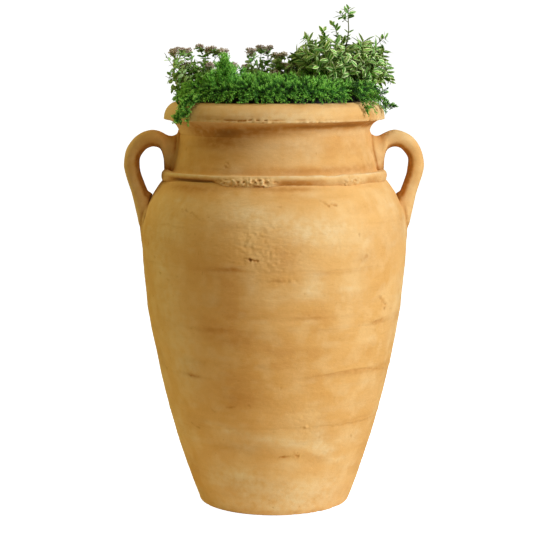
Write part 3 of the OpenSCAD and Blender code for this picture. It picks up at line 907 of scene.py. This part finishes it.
# Sizes of the CAD solids that the plants keep to
LINER_TOP = high_corner("liner_pot")[2]
LINER_R = high_corner("liner_pot")[0]
LINER_INSIDE_R = high_corner("compost")[0]
COMPOST_TOP = high_corner("compost")[2]
COMPOST_LOW = low_corner("compost")[2]
MAT_TOP = high_corner("stonecrop_mat")[2]


def clear_of_jar(points, gap):
    """Moves points out of the lip's round edge, and up from its flat top and the liner's lip."""
    radius = np.maximum(np.linalg.norm(points[..., :2], axis=-1), 1e-6)
    out_r, out_z = radius - LIP_C[0], points[..., 2] - LIP_C[1]
    far = np.maximum(np.hypot(out_r, out_z), 1e-6)
    push = np.maximum(LIP_ROUND + gap, far) / far
    floor_z = np.where(radius < LINER_R + gap, LINER_TOP + gap, RIM_Z + gap)
    new_r = np.where(out_r > 0, LIP_C[0] + out_r * push, radius)
    new_z = np.where(out_r > 0, LIP_C[1] + out_z * push, np.maximum(points[..., 2], floor_z))
    return np.concatenate([points[..., :2] * (new_r / radius)[..., None], new_z[..., None]], -1)


class Growth:
    """Collects many small closed solids of one plant, each with its own shade."""

    def __init__(self, seed):
        self.random = np.random.default_rng(seed)
        self.points, self.faces, self.shade, self.edge = [], [], [], []
        self.count = 0

    def solids(self, points, faces, shade, edge=0.0):
        """Adds copies of one solid, whose faces are given, each with its own points."""
        copies, size = points.shape[:2]
        start = self.count + size * np.arange(copies)[:, None, None]
        self.points.append(points.reshape(-1, 3))
        self.faces.append((faces[None] + start).reshape(-1, 3))
        self.shade.append(np.broadcast_to(np.asarray(shade, float), (copies, size)).ravel())
        self.edge.append(np.broadcast_to(np.asarray(edge, float), (copies, size)).ravel())
        self.count += copies * size

    def needles(self, at, direction, length, half_w, shade):
        """Slim pointed leaves, thickest a third of the way up."""
        turn = np.arange(4) * math.pi / 2
        ring = np.stack([np.cos(turn), np.sin(turn), 0 * turn + 0.38], -1)
        shape = np.concatenate([[[0, 0, 0]], ring, [[0, 0, 1]]])
        size = np.stack([half_w + 0 * length, half_w + 0 * length, length], -1)
        points = (shape[None] * size[:, None]) @ axes(direction, UP) + at[:, None]
        # Painted shade and light: each needle darker at its base and lighter at its tip
        lighter = np.array([-0.15, 0, 0, 0, 0, 0.18])
        self.solids(points, fan_solid(1, 4), np.clip(shade[:, None] + lighter, 0, 1))

    def leaves(self, at, direction, face_to, length, half_w, shade, pointed=1.0, fold=0.3, droop=0.2):
        """Flat leaves with a crease along the middle: lance-shaped if pointed is 1, oval if it is 0."""
        rows, across = 6, 5
        u = (np.arange(rows) + 0.7) / (rows + 0.4)
        wide = np.sin(math.pi * u ** (0.8 + 0.1 * pointed)) ** (0.75 + 0.25 * pointed)
        v = np.concatenate([np.linspace(-1, 1, across), np.linspace(1, -1, across)[1:-1]])
        over = np.concatenate([np.ones(across), -np.ones(across - 2)])
        x = wide[:, None] * v
        thick = 0.07 * over * (1 - v ** 2)
        y = thick * wide[:, None] + fold * np.abs(v) * wide[:, None]
        ring = np.stack(np.broadcast_arrays(x, y, u[:, None]), -1).reshape(-1, 3)
        shape = np.concatenate([[[0, 0, 0]], ring, [[0, 0, 1]]])
        size = np.stack([half_w, half_w, length], -1)
        local = shape[None] * size[:, None]
        local[..., 1] -= (droop * length)[:, None] * shape[None, :, 2] ** 2
        points = local @ axes(direction, face_to) + at[:, None]
        margin = np.concatenate([[0.3], np.tile(np.abs(v) ** 1.3, rows), [0.8]])
        self.solids(points, fan_solid(rows, len(v)), shade[:, None], margin)

    def stems(self, paths, radius, shade, sides=5):
        """Round stems along rows of points, thinner at the tip."""
        count, steps = paths.shape[:2]
        along = unit(np.gradient(paths, axis=1))
        ring = sideways(along[:, :, None], 2 * math.pi * np.arange(sides) / sides, (0.93, 0.35, 0.1))
        taper = np.linspace(1, 0.45, steps)[None, :, None, None]
        rings = paths[:, :, None] + ring * radius * taper
        solid = np.concatenate([paths[:, :1], rings.reshape(count, -1, 3), paths[:, -1:]], 1)
        self.solids(solid, fan_solid(steps, sides), np.reshape(shade, (-1, 1)))

    def sprigs(self, paths, needles, length, half_w, shade, low_tilt=66, high_tilt=24, start=0.08):
        """Needles all round each stem, closing up towards its tip."""
        count, steps = paths.shape[:2]
        draw = self.random
        order = np.arange(needles)
        t = start + (1 - start) * (order + draw.random((count, needles)) * 0.8) / needles
        t = np.minimum(t, 1.0)
        at, along = stations(paths, t * (steps - 1))
        side = sideways(along, GOLDEN * order + draw.random((count, 1)) * 6.3, (0.8, 0.5, 0.2))
        tilt = low_tilt + (high_tilt - low_tilt) * t ** 1.5
        tilt = (np.radians(tilt) * draw.uniform(0.8, 1.15, t.shape))[..., None]
        way = side * np.sin(tilt) + along * np.cos(tilt)
        size = length * (1 - 0.3 * t) * draw.uniform(0.75, 1.15, t.shape)
        # Painted shade and light: needles darker low on the stem and lighter towards its tip
        tone = shade[:, None] + 1.25 * (t - 0.62) + draw.normal(0, 0.1, t.shape)
        tone = np.clip(tone, 0, 1).ravel()
        self.needles(at.reshape(-1, 3), way.reshape(-1, 3), size.ravel(), half_w, tone)

    def piece(self, name, material, slot, nodes=()):
        """Makes the mesh, its points pushed clear of the clay."""
        fields = {"shade": np.concatenate(self.shade), "edge": np.concatenate(self.edge)}
        points = clear_of_jar(np.concatenate(self.points), 0.6)
        faces = np.concatenate(self.faces)
        new_piece(name, points, [faces], material, "planting", nodes, fields=fields)


def bent_paths(start, middle, end, steps):
    """Curves from start to end that lean towards a middle point."""
    t = np.linspace(0, 1, steps)[None, :, None]
    return (1 - t) ** 2 * start[:, None] + 2 * t * (1 - t) * middle[:, None] + t ** 2 * end[:, None]


SPOKES = np.arange(160)[None, :] * 360.0 / 160


def polar_solid(name, radius, height, material, node, shade):
    """A closed lump whose rows run from the axis on top, round the edge, to the axis underneath."""
    ring = around(SPOKES, radius, height)
    top, bottom = ([[0, 0, float(np.mean(ring[row, :, 2]))]] for row in (0, -1))
    points = np.concatenate([top, ring.reshape(-1, 3), bottom])
    faces = fan_solid(len(ring), SPOKES.size)[:, ::-1]
    fields = {"shade": np.full(len(points), shade), "edge": np.zeros(len(points))}
    new_piece(name, points, [faces], material, "planting", [node], fields=fields)


def compost():
    """Crumbly compost that fills the liner."""
    top_r = np.linspace(3, LINER_INSIDE_R - 1, 36)
    side_z = np.linspace(COMPOST_TOP - 1.5, COMPOST_LOW + 0.5, 24)
    liner_floor_r = 89.5
    part = np.clip((side_z - COMPOST_LOW) / (RIM_Z - 28 - COMPOST_LOW), 0, 1)
    side_r = liner_floor_r + (LINER_INSIDE_R - 2.2 - liner_floor_r) * part - 0.4
    low_r = np.linspace(liner_floor_r - 1, 3, 12)
    radius = np.concatenate([top_r, side_r, low_r])[:, None]
    low_z = np.full(12, COMPOST_LOW + 0.4)
    height = np.concatenate([np.full(36, COMPOST_TOP - 1.0), side_z, low_z])[:, None]
    at = around(SPOKES, radius, height)
    crumbs = 1.6 * noise(at, 11, 91) + 1.1 * noise(at, 5, 92)
    on_top = (np.arange(len(radius)) < 34)[:, None]
    polar_solid("compost_fill", radius, height + crumbs * on_top, "compost", "compost", 0.5)


def mat_surface(radius):
    """Height of the soil-hugging part of the stonecrop."""
    return LINER_TOP - 3 + 14 * (1 - np.clip(radius / 134, 0, 1) ** 3)


def tufts(growth, at, way, reach, shade):
    """Short upright sprigs from the points at, each bowing a little."""
    draw = growth.random
    tip = at + unit(way) * reach[:, None]
    middle = (at + tip) / 2 + UP * 0.12 * reach[:, None] + draw.normal(0, 1.2, at.shape)
    paths = bent_paths(at, middle, tip, 4)
    growth.stems(paths, 0.5, np.clip(shade - 0.1, 0, 1), 3)
    growth.sprigs(paths, 14, 8.2, 0.62, shade, 52, 13)


def by_quarter(quarters, spin):
    """Each quarter of the cushion that has any of these angles, and which of them are its own."""
    quarter = (np.mod(spin + 45, 360) // 90).astype(int)
    return [(growth, quarter == k) for k, growth in enumerate(quarters) if (quarter == k).any()]


def stonecrop_core():
    """The lumpy middle of the cushion, at its darkest shade: painted shade in the gaps between the sprigs."""
    top_r = np.linspace(3, LINER_R - 4, 44)
    low_r = np.linspace(LINER_R - 4, 3, 14)
    radius = np.concatenate([top_r, low_r])[:, None]
    low_z = np.where(low_r > LINER_INSIDE_R - 2, LINER_TOP + 0.6, COMPOST_TOP + 1.0)
    height = np.concatenate([mat_surface(top_r) + 1.0, low_z])[:, None]
    at = around(SPOKES, radius, height)
    on_top = (np.arange(len(radius)) < 43)[:, None]
    lumps = (2.2 * noise(at, 16, 93) + 1.4 * noise(at, 6, 94)) * on_top
    height = np.maximum(height + lumps, low_z.min())
    polar_solid("stonecrop_core", radius, height, "stonecrop", "stonecrop_mat", 0.0)


def cushion(quarters, draw):
    """Rings of sprigs, which lean out more towards the edge."""
    rings = [(r, 7.4, 8 + 30 * (r / 125) ** 4, 17.0) for r in np.arange(5, 122, 7.0)]
    rings += [(119, 6.4, 48, 17.0), (123, 6.2, 62, 16.0), (125, 6.0, 74, 14.0)]
    for ring_r, spacing, lean, length in rings:
        count = max(3, round(2 * math.pi * ring_r / spacing))
        spin = (np.arange(count) + draw.uniform(-0.4, 0.4, count)) * 360 / count
        spin = spin + draw.uniform(0, 360)
        radius = ring_r + draw.uniform(-3, 3, count) * (lean < 45)
        at = around(spin, radius, mat_surface(radius) + draw.uniform(-1.5, 1.5, count) + 1.0)
        over_lip = np.where(radius > LINER_INSIDE_R - 2, LINER_TOP + 1.2, 0)
        at[:, 2] = np.maximum(at[:, 2], over_lip)
        tilt = np.radians(lean + draw.normal(0, 13, count))[:, None]
        way = around(spin, 1.0, 0.0) * np.sin(tilt) + UP * np.cos(tilt)
        way = way + draw.normal(0, 0.24, at.shape)
        clump = noise(at, 24, 95)
        reach = length * draw.uniform(0.65, 1.15, count) * (1 + 0.25 * clump)
        room = (MAT_TOP + 4 - at[:, 2]) / np.maximum(unit(way)[:, 2], 0.05)
        shade = np.clip(0.45 + 0.3 * clump + draw.normal(0, 0.15, count), 0.05, 0.95)
        reach = np.minimum(reach, room)
        for growth, mine in by_quarter(quarters, spin):
            tufts(growth, at[mine], way[mine], reach[mine], shade[mine])


def fringe(quarters, draw):
    """Rows of sprigs that bend over the liner's lip onto the clay rim."""
    for row in range(4):
        count = 175
        spin = (np.arange(count) + draw.uniform(-0.5, 0.5, count)) * 360 / count
        spin = spin[np.abs(angle_gap(spin, 54)) > 7]
        count = len(spin)
        start = around(spin, 128.0 - 2 * row, LINER_TOP + 1.5 + 2 * row)
        top = around(spin + draw.normal(0, 2, count), 138 - 2 * row, LINER_TOP + 1 + 3 * row)
        low = around(spin + draw.normal(0, 3, count), draw.uniform(143, 153, count) - 3 * row,
                     RIM_Z + draw.uniform(0.8, 2.5, count) + 3.2 * row)
        paths = bent_paths(start, top, low, 5)
        shade = np.clip(0.28 + 0.08 * row + draw.normal(0, 0.18, count), 0.02, 0.9)
        for growth, mine in by_quarter(quarters, spin):
            growth.stems(paths[mine], 0.5, shade[mine], 3)
            growth.sprigs(paths[mine], 13, 6.5, 0.7, shade[mine], 60, 30)


def stonecrop():
    """A cushion of feathery stonecrop, its sprigs in four pieces."""
    stonecrop_core()
    quarters = [Growth(200 + k) for k in range(4)]
    draw = np.random.default_rng(77)
    cushion(quarters, draw)
    fringe(quarters, draw)
    for growth, side in zip(quarters, ("front", "right", "back", "left")):
        growth.piece("stonecrop_sprigs_" + side, "stonecrop", "stonecrop_leaf")


# Flower heads of the two herbs: [x, height, half width], and where each herb stands: [x, y].
LEFT_HERB_AT = (-100, 20)
LEFT_HEADS = [[-151, 673, 3], [-140, 675, 6], [-129, 674, 5], [-111, 680, 4], [-100, 675, 6], [-84, 677, 8],
              [-74, 673, 5], [-94, 653, 6], [-62, 652, 6], [-131, 653, 5], [-137, 632, 6], [-116, 645, 4]]
CENTRE_HERB_AT = (-8, 26)
CENTRE_HEADS = [[-34, 674, 5], [-18, 678, 7], [-8, 678, 5], [4, 668, 8], [13, 669, 5], [-43, 650, 4],
                [12, 653, 8], [1, 641, 6], [25, 652, 6], [34, 656, 4], [20, 640, 5]]


def herb(name, seed, at, heads, reach, shoot_count):
    """An upright herb: leafy stems that end in the listed heads of dry buds, and shoots between them."""
    stems, leaves, flowers = Growth(seed), Growth(seed + 1), Growth(seed + 2)
    draw = stems.random
    x, z, half = np.array(heads, float).T
    tops = np.column_stack([x, at[1] + draw.uniform(-22, 22, len(x)), z])
    shoot_x = reach[0] + (reach[1] - reach[0]) * draw.uniform(0, 1, shoot_count) ** 1.3
    shoot_y = at[1] + draw.uniform(-32, 26, shoot_count)
    shoots = np.column_stack([shoot_x, shoot_y, draw.uniform(614, z.max() - 8, shoot_count)])
    tips = np.concatenate([tops, shoots])
    count = len(tips)
    base = at_height(at + draw.normal(0, 7, (count, 2)), LINER_TOP + 4)
    base[:, 0] += 0.3 * (tips[:, 0] - at[0]) * (1 if at[0] > -50 else 0.3)
    middle = base * 0.4 + tips * 0.6
    middle[:, 2] = base[:, 2] * 0.62 + tips[:, 2] * 0.38
    paths = bent_paths(base, middle, tips, 9)
    stems.stems(paths, 0.8, draw.uniform(0.3, 0.8, count))
    small_leaves(leaves, paths, 9, (8.0, 11.5))
    spread = np.column_stack([half, 0.8 * half, 0 * half])
    start = paths[:len(tops), 7]
    for k in range(8):
        end = tops + draw.uniform(-1, 1, tops.shape) * spread
        end = end + UP * draw.uniform(-1.0 - k, 1.5, (len(tops), 1))
        twigs = bent_paths(start, (start + end) / 2 + (end - tops) * 0.3, end, 4)
        stems.stems(twigs, 0.5, draw.uniform(0.4, 0.9, len(tops)), 4)
        flower_heads(flowers, end, unit(end - start) + UP)
        small_leaves(leaves, twigs, 2, (4.5, 7.0))
    stems.piece(name + "_stems", "stems", "marjoram_leaf", [name])
    leaves.piece(name + "_leaves", "marjoram", "marjoram_leaf")
    flowers.piece(name + "_flowers", "flowers", "marjoram_leaf")


def small_leaves(growth, paths, pairs, lengths):
    """Pairs of oval leaves up each stem, every pair a quarter turn from the last."""
    draw = growth.random
    count, steps = paths.shape[:2]
    for k in range(pairs):
        where = (0.1 + 0.86 * (k + draw.uniform(0.1, 0.7, count)) / pairs) * (steps - 1)
        at, along = stations(paths, where)
        side = sideways(along, (k % 2) * math.pi / 2 + draw.normal(0, 0.5, count), (1, 0.2, 0))
        for sign in (-1, 1):
            tilt = np.radians(draw.uniform(45, 85, count))[:, None]
            way = side * sign * np.sin(tilt) + along * np.cos(tilt) + draw.normal(0, 0.15, at.shape)
            length = draw.uniform(*lengths, count)
            face = along + draw.normal(0, 0.7, at.shape)
            growth.leaves(at, way, face, length, length * 0.29, draw.uniform(0.35, 1.0, count),
                          pointed=0.2, fold=0.22, droop=0.16)


def flower_heads(growth, at, way):
    """Small domed clusters of buds."""
    draw = growth.random
    count, buds = len(at), 17
    order = np.arange(buds) + 0.5
    rho = np.sqrt(order / buds)[None, :] * draw.uniform(0.8, 1.2, (count, buds))
    rise = unit(way)[:, None]
    out = sideways(rise, GOLDEN * order[None, :] + draw.uniform(0, 6.3, (count, 1)), (0.7, 0.6, 0.1))
    size = draw.uniform(2.6, 4.4, (count, 1))
    domed = size * 0.7 * (1 - rho ** 2) - 1.5
    place = at[:, None] + out * (rho * size)[..., None] + rise * domed[..., None]
    place = place + draw.normal(0, 0.6, place.shape)
    direction = rise + out * (rho * 0.9)[..., None] + draw.normal(0, 0.2, place.shape)
    length = draw.uniform(2.2, 3.6, (count, buds))
    tone = 0.5 + 0.12 * draw.normal(size=(count, 1)) + draw.normal(0, 0.27, (count, buds))
    tone = np.clip(tone, 0, 1).ravel()
    growth.needles(place.reshape(-1, 3), direction.reshape(-1, 3), length.ravel(), 0.95, tone)


def fern():
    """A soft bright plume of thread-like leaves with a skirt of shorter shoots."""
    plume, twigs = Growth(401), Growth(402)
    draw = plume.random
    low, high = low_corner("fern_plume"), high_corner("fern_plume")
    centre = (low[:2] + high[:2]) / 2
    core, count = 20, 46
    wide = np.where(np.arange(count) < core, 5.5, 15)[:, None]
    spread = draw.normal(0, 1, (count, 2)) * wide
    height = high[2] - 3 - np.abs(spread[:, 0]) * 2.4 - draw.uniform(0, 16, count)
    height = np.maximum(height, draw.uniform(632, 650, count))
    base = at_height(centre + spread * 0.5, LINER_TOP + 2)
    tip = at_height(centre + spread * 1.3 + (1, 0), height)
    paths = bent_paths(base, (base + tip) / 2 + UP * 4, tip, 8)
    twigs.stems(paths, 0.6, draw.uniform(0.3, 0.6, count), 4)
    plume.sprigs(paths, 26, 7.5, 0.55, draw.uniform(0.4, 0.75, count), 58, 22)
    for k in range(6):
        where = 1 + (7 * (k + 0.5) / 6 + draw.uniform(-0.3, 0.3, count)).astype(int)
        start = paths[np.arange(count), np.minimum(where, 6)]
        turn = GOLDEN * k + draw.uniform(0, 6.3, count)
        way = unit(np.stack([np.cos(turn), np.sin(turn), 1.5 + 0 * turn], -1))
        end = start + way * draw.uniform(8, 13, count)[:, None] * (1 - 0.05 * k)
        end[:, 2] = np.minimum(end[:, 2], high[2] - 3)
        side = bent_paths(start, (start + end) / 2 + way * (1, 1, 0) * 2, end, 4)
        twigs.stems(side, 0.4, draw.uniform(0.4, 0.7, count), 3)
        plume.sprigs(side, 11, 5.5, 0.5, draw.uniform(0.4, 0.85, count), 55, 20)
    plume.piece("fern_threads", "fern", "fern_leaf", ["fern_plume"])
    twigs.piece("fern_twigs", "fern", "fern_leaf")


SHRUB_HEART = np.array([98.0, 12.0, 642.0])


def lance_leaves(growth, paths, pairs, lengths, start=0.25, width=0.18):
    """Pairs of narrow leaves up each stem and a rosette at its tip."""
    draw = growth.random
    count, steps = paths.shape[:2]
    for k in range(pairs):
        part = ((k + draw.uniform(0, 0.5, count)) / pairs) ** 0.8
        at, along = stations(paths, (start + (0.99 - start) * part) * (steps - 1))
        side = sideways(along, GOLDEN * k + draw.normal(0, 0.5, count), (1, 0.2, 0))
        for sign in (-1, 1):
            tilt = np.radians(draw.uniform(58, 98, count) - 30 * k / pairs)[:, None]
            way = side * sign * np.sin(tilt) + along * np.cos(tilt) + draw.normal(0, 0.16, at.shape)
            length = draw.uniform(*lengths, count) * (1 - 0.2 * k / pairs)
            face = along * 0.3 + unit(at - SHRUB_HEART) + draw.normal(0, 0.5, at.shape)
            half_w = length * draw.uniform(0.9, 1.15, count) * width
            # Painted shade: the lower pairs, deeper in the plant, are darker
            shade = draw.uniform(0.0, 0.75, count) + 0.3 * k / pairs
            growth.leaves(at, way, face, length, half_w, shade, pointed=0.6, fold=0.14, droop=0.12)


def shrub():
    """A dense dome of cream-edged leaves, with one sprig that stands well clear of it."""
    stems, leaves = Growth(501), Growth(502)
    draw = stems.random
    count = 84
    order = np.arange(count) + 0.5
    rise = 1 - 1.35 * order / count
    spin = GOLDEN * order
    level = np.clip(1 - np.abs(rise) ** 4.5, 0, 1) ** 0.4
    dome = np.stack([level * np.cos(spin) * 72, level * np.sin(spin) * 50, 47 * rise], -1)
    dome *= draw.uniform(0.86, 1.03, (count, 1))
    tip = dome + SHRUB_HEART + (-1, -4, 3)
    foot = SHRUB_HEART[:2] + dome[:, :2] * 0.2 + draw.normal(0, 3, (count, 2))
    base = at_height(foot, LINER_TOP + 6)
    middle = base * 0.5 + tip * 0.5 + 9 * UP
    paths = bent_paths(base, middle, tip, 8)
    stems.stems(paths, 0.9, draw.uniform(0.2, 0.7, count))
    lance_leaves(leaves, paths, 8, (16, 23), 0.5, 0.17)
    top = high_corner("variegated_shrub")[2] - 6
    tall = np.array([[[105.0, 13, 676], [109, 14, 690], [110.5, 15, 704],
                      [110, 14, 716], [109.5, 14, 726], [110, 14, top]]])
    stems.stems(tall, 1.2, 0.5)
    lance_leaves(leaves, tall[:, 3:], 5, (13, 17), 0.1, 0.22)
    lance_leaves(leaves, tall[:, :3], 3, (10, 14), 0.2, 0.18)
    side = [[[110, 14, 715], [102, 11, 720], [97, 11, 729]], [[97, 10, 688], [93, 9, 702], [87, 8, 712]],
            [[72, 6, 684], [73, 6, 694], [74, 5, 704]], [[150, 6, 680], [157, 2, 690], [164, 0, 693]],
            [[62, 4, 680], [52, 2, 690], [44, 0, 692]]]
    side = bent_paths(*np.array(side, float).transpose(1, 0, 2), 7)
    stems.stems(side, 0.7, 0.5)
    lance_leaves(leaves, side, 5, (11, 16), 0.3, 0.22)
    drooping = np.array([[[150.0, -10, 656]], [[170, -16, 650]], [[171, -18, 624]]])
    drooping = bent_paths(*drooping, 7)
    stems.stems(drooping, 0.8, 0.5)
    lance_leaves(leaves, drooping, 6, (11, 15), 0.2)
    stems.piece("shrub_stems", "stems", "variegated_leaf", ["variegated_shrub"])
    leaves.piece("shrub_leaves", "variegated", "variegated_leaf")


def trailing(name, node, seed, paths, side_shoots, needle, deepest_shade):
    """Bright sprigs along the paths, kept off the clay, with side shoots."""
    leaves, twigs = Growth(seed), Growth(seed + 1)
    draw = leaves.random
    count = len(paths)
    paths = clear_of_jar(paths, 4.5)
    twigs.stems(paths, 0.7, draw.uniform(0.4, 0.8, count), 4)
    leaves.sprigs(paths, 46, needle, 0.66, draw.uniform(deepest_shade, 0.75, count), 62, 30, 0.02)
    for _ in range(side_shoots):
        where = draw.integers(2, paths.shape[1], count)
        start = paths[np.arange(count), where]
        out = unit(start * (1, 1, 0)) * 0.7 + UP * 0.45 + draw.normal(0, 0.5, (count, 3))
        end = clear_of_jar(start + unit(out) * draw.uniform(6, 12, count)[:, None], 4.5)
        side = bent_paths(start, (start + end) / 2 + UP * 1.5, end, 4)
        twigs.stems(side, 0.5, draw.uniform(0.5, 0.8, count), 3)
        tone = draw.uniform(deepest_shade, 0.9, count)
        leaves.sprigs(side, 14, needle * 0.85, 0.66, tone, 58, 26, 0.05)
    leaves.piece(name + "_leaves", "trailing", "trailing_leaf", [node])
    twigs.piece(name + "_twigs", "trailing", "trailing_leaf")


def left_trail():
    """Stems that follow the lip over its edge and hang in front of the neck."""
    draw = np.random.default_rng(61)
    count = 13
    t = np.linspace(0, 1, 11)[None, :]
    spin = np.linspace(-54, -47, count)[:, None] + draw.normal(0, 0.8, (count, 1))
    spin = spin + t * draw.normal(0, 2, (count, 1))
    turn = np.radians(112 + (draw.uniform(-2, 40, (count, 1)) - 112) * np.minimum(t / 0.7, 1.0))
    off = LIP_ROUND + draw.uniform(5, 9, (count, 1)) * (0.8 + 0.5 * t)
    drop = draw.uniform(0, 9, (count, 1)) * np.clip((t - 0.7) / 0.3, 0, 1)
    paths = around(spin, LIP_C[0] + off * np.cos(turn), LIP_C[1] + off * np.sin(turn) - drop)
    paths[:, 1:-1] += draw.normal(0, 0.8, (count, 9, 3))
    trailing("trailing_left", "trailing_sprig_left", 601, paths, 5, 5.4, 0.35)


def right_trail():
    """A bushy spray that rises out of the mouth and leans over the lip."""
    draw = np.random.default_rng(62)
    count = 38
    spin = draw.uniform(54, 86, count)
    reach = draw.uniform(0, 1, count)
    start = around(spin - 4, draw.uniform(104, 121, count), LINER_TOP + 2.0)
    middle = around(spin, 132 + 12 * reach, 618 + draw.uniform(0, 14, count))
    end_spin = spin + draw.normal(0, 4, count)
    end = around(end_spin, 138 + 38 * reach, 630 - 50 * reach + draw.normal(0, 6, count))
    paths = bent_paths(start, middle, end, 10)
    paths[:, 1:-1] += draw.normal(0, 0.7, (count, 8, 3))
    over_liner = np.hypot(paths[..., 0], paths[..., 1]) < LINER_R
    paths[..., 2] = np.maximum(paths[..., 2], np.where(over_liner, LINER_TOP + 1.0, 0))
    # The right spray's shades reach lower than the left's: painted shade in its dark depths
    trailing("trailing_right", "trailing_sprig_right", 611, paths, 4, 6.2, -0.25)


def planting():
    """Everything that lifts out of the mouth."""
    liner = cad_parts["liner_pot"]
    for material_slot in liner.material_slots:
        material_slot.material = MATERIALS["liner_plastic"]
    compost()
    stonecrop()
    herb("marjoram_left", 301, LEFT_HERB_AT, LEFT_HEADS, (-162, -80), 34)
    herb("marjoram_centre", 311, CENTRE_HERB_AT, CENTRE_HEADS, (-42, 36), 34)
    fern()
    shrub()
    left_trail()
    right_trail()


# ------------------------------------------------------------------ stage, light and camera


def floor():
    """A wide, pale floor: near white to the eye, but with only a dim bounce onto the jar."""
    s = Shader("floor", roughness=0.9)
    pale = s.mix(s.spread(s.grain(300, 3), 0.3, 0.7), (0.48, 0.49, 0.52), (0.52, 0.53, 0.56))
    seen = s.add("ShaderNodeLightPath").outputs["Is Camera Ray"]
    away = s.add("ShaderNodeVectorMath", {0: s.place}, operation="LENGTH").outputs["Value"]
    bounce = s.mix(s.spread(away, 0.15, 0.8), (0.95, 0.88, 0.72), (0.4, 0.34, 0.2))
    s.set(base_color=s.mix(seen, bounce, pale), emission_color=(0.93, 0.96, 1),
          emission_strength=s.maths("MULTIPLY", seen, 1.1))
    half, height = 30.0, -0.0006
    corners = [(-half, -half, height), (half, -half, height), (half, half, height), (-half, half, height)]
    mesh = bpy.data.meshes.new("floor")
    mesh.from_pydata(corners, [], [(0, 1, 2, 3)])
    mesh.materials.append(s.material)
    in_scene("floor", mesh)


def softbox(name, aim, angle, elevation, distance, size, power, colour):
    """A square soft light that faces the jar's axis at a height, from an angle round it and above it."""
    target = Vector((0, 0, aim))
    turn, rise = math.radians(angle), math.radians(elevation)
    away = Vector((math.cos(rise) * math.sin(turn), -math.cos(rise) * math.cos(turn), math.sin(rise)))
    data = bpy.data.lights.new(name, "AREA")
    data.shape = "SQUARE"
    data.size = size
    data.energy = power
    data.color = colour
    lamp = in_scene(name, data)
    lamp.location = target + away * distance
    lamp.rotation_euler = away.to_track_quat("Z", "Y").to_euler()


def surroundings():
    """White behind everything, and a dim warm light that comes mostly from above."""
    world = bpy.data.worlds.new("studio")
    world.use_nodes = True
    tree = Nodes(world.node_tree)
    glow, output = (world.node_tree.nodes[name] for name in ("Background", "World Output"))
    direction = tree.add("ShaderNodeTexCoord").outputs["Generated"]
    height = tree.add("ShaderNodeSeparateXYZ", {0: direction}).outputs["Z"]
    tree.feed(glow.inputs["Color"], (1.0, 0.82, 0.22))
    tree.feed(glow.inputs["Strength"], tree.spread(height, 0, 1, 0.03, 0.33))
    white = tree.add("ShaderNodeBackground", {"Color": (1, 1, 1), "Strength": 1.05}).outputs[0]
    seen = tree.add("ShaderNodeLightPath").outputs["Is Camera Ray"]
    mix = tree.add("ShaderNodeMixShader", {0: seen, 1: glow.outputs[0], 2: white})
    tree.feed(output.inputs["Surface"], mix.outputs[0])
    bpy.context.scene.world = world
    bpy.context.scene.view_settings.view_transform = "Standard"


def camera():
    """The camera of the photograph: a long lens, a little above the jar and tilted down."""
    data = bpy.data.cameras.new("camera")
    data.lens = 116.33
    made = in_scene("camera", data)
    made.location = (-0.0111, -2.5596, 0.67686)
    made.rotation_euler = (math.radians(90 - 7.2157), 0, 0)
    bpy.context.scene.camera = made


camera()
surroundings()
softbox("key", 0.33, 63, 25, 2.2, 1.0, 45, (0.9, 0.96, 1.06))
softbox("side", 0.33, -112, 16, 2.4, 1.0, 18, (1.0, 0.97, 0.45))
softbox("low", 0.05, 5, 4, 1.0, 0.6, 1.8, (1.0, 0.96, 0.85))
softbox("top", 0.55, -15, 68, 1.6, 1.0, 5.5, (1.0, 0.96, 0.8))
floor()
base_slab()
belts()
neck_collar()
rim_lip()
cordon()
handle("handle_right", 1)
handle("handle_left", -1)
planting()

bpy.context.view_layer.update()
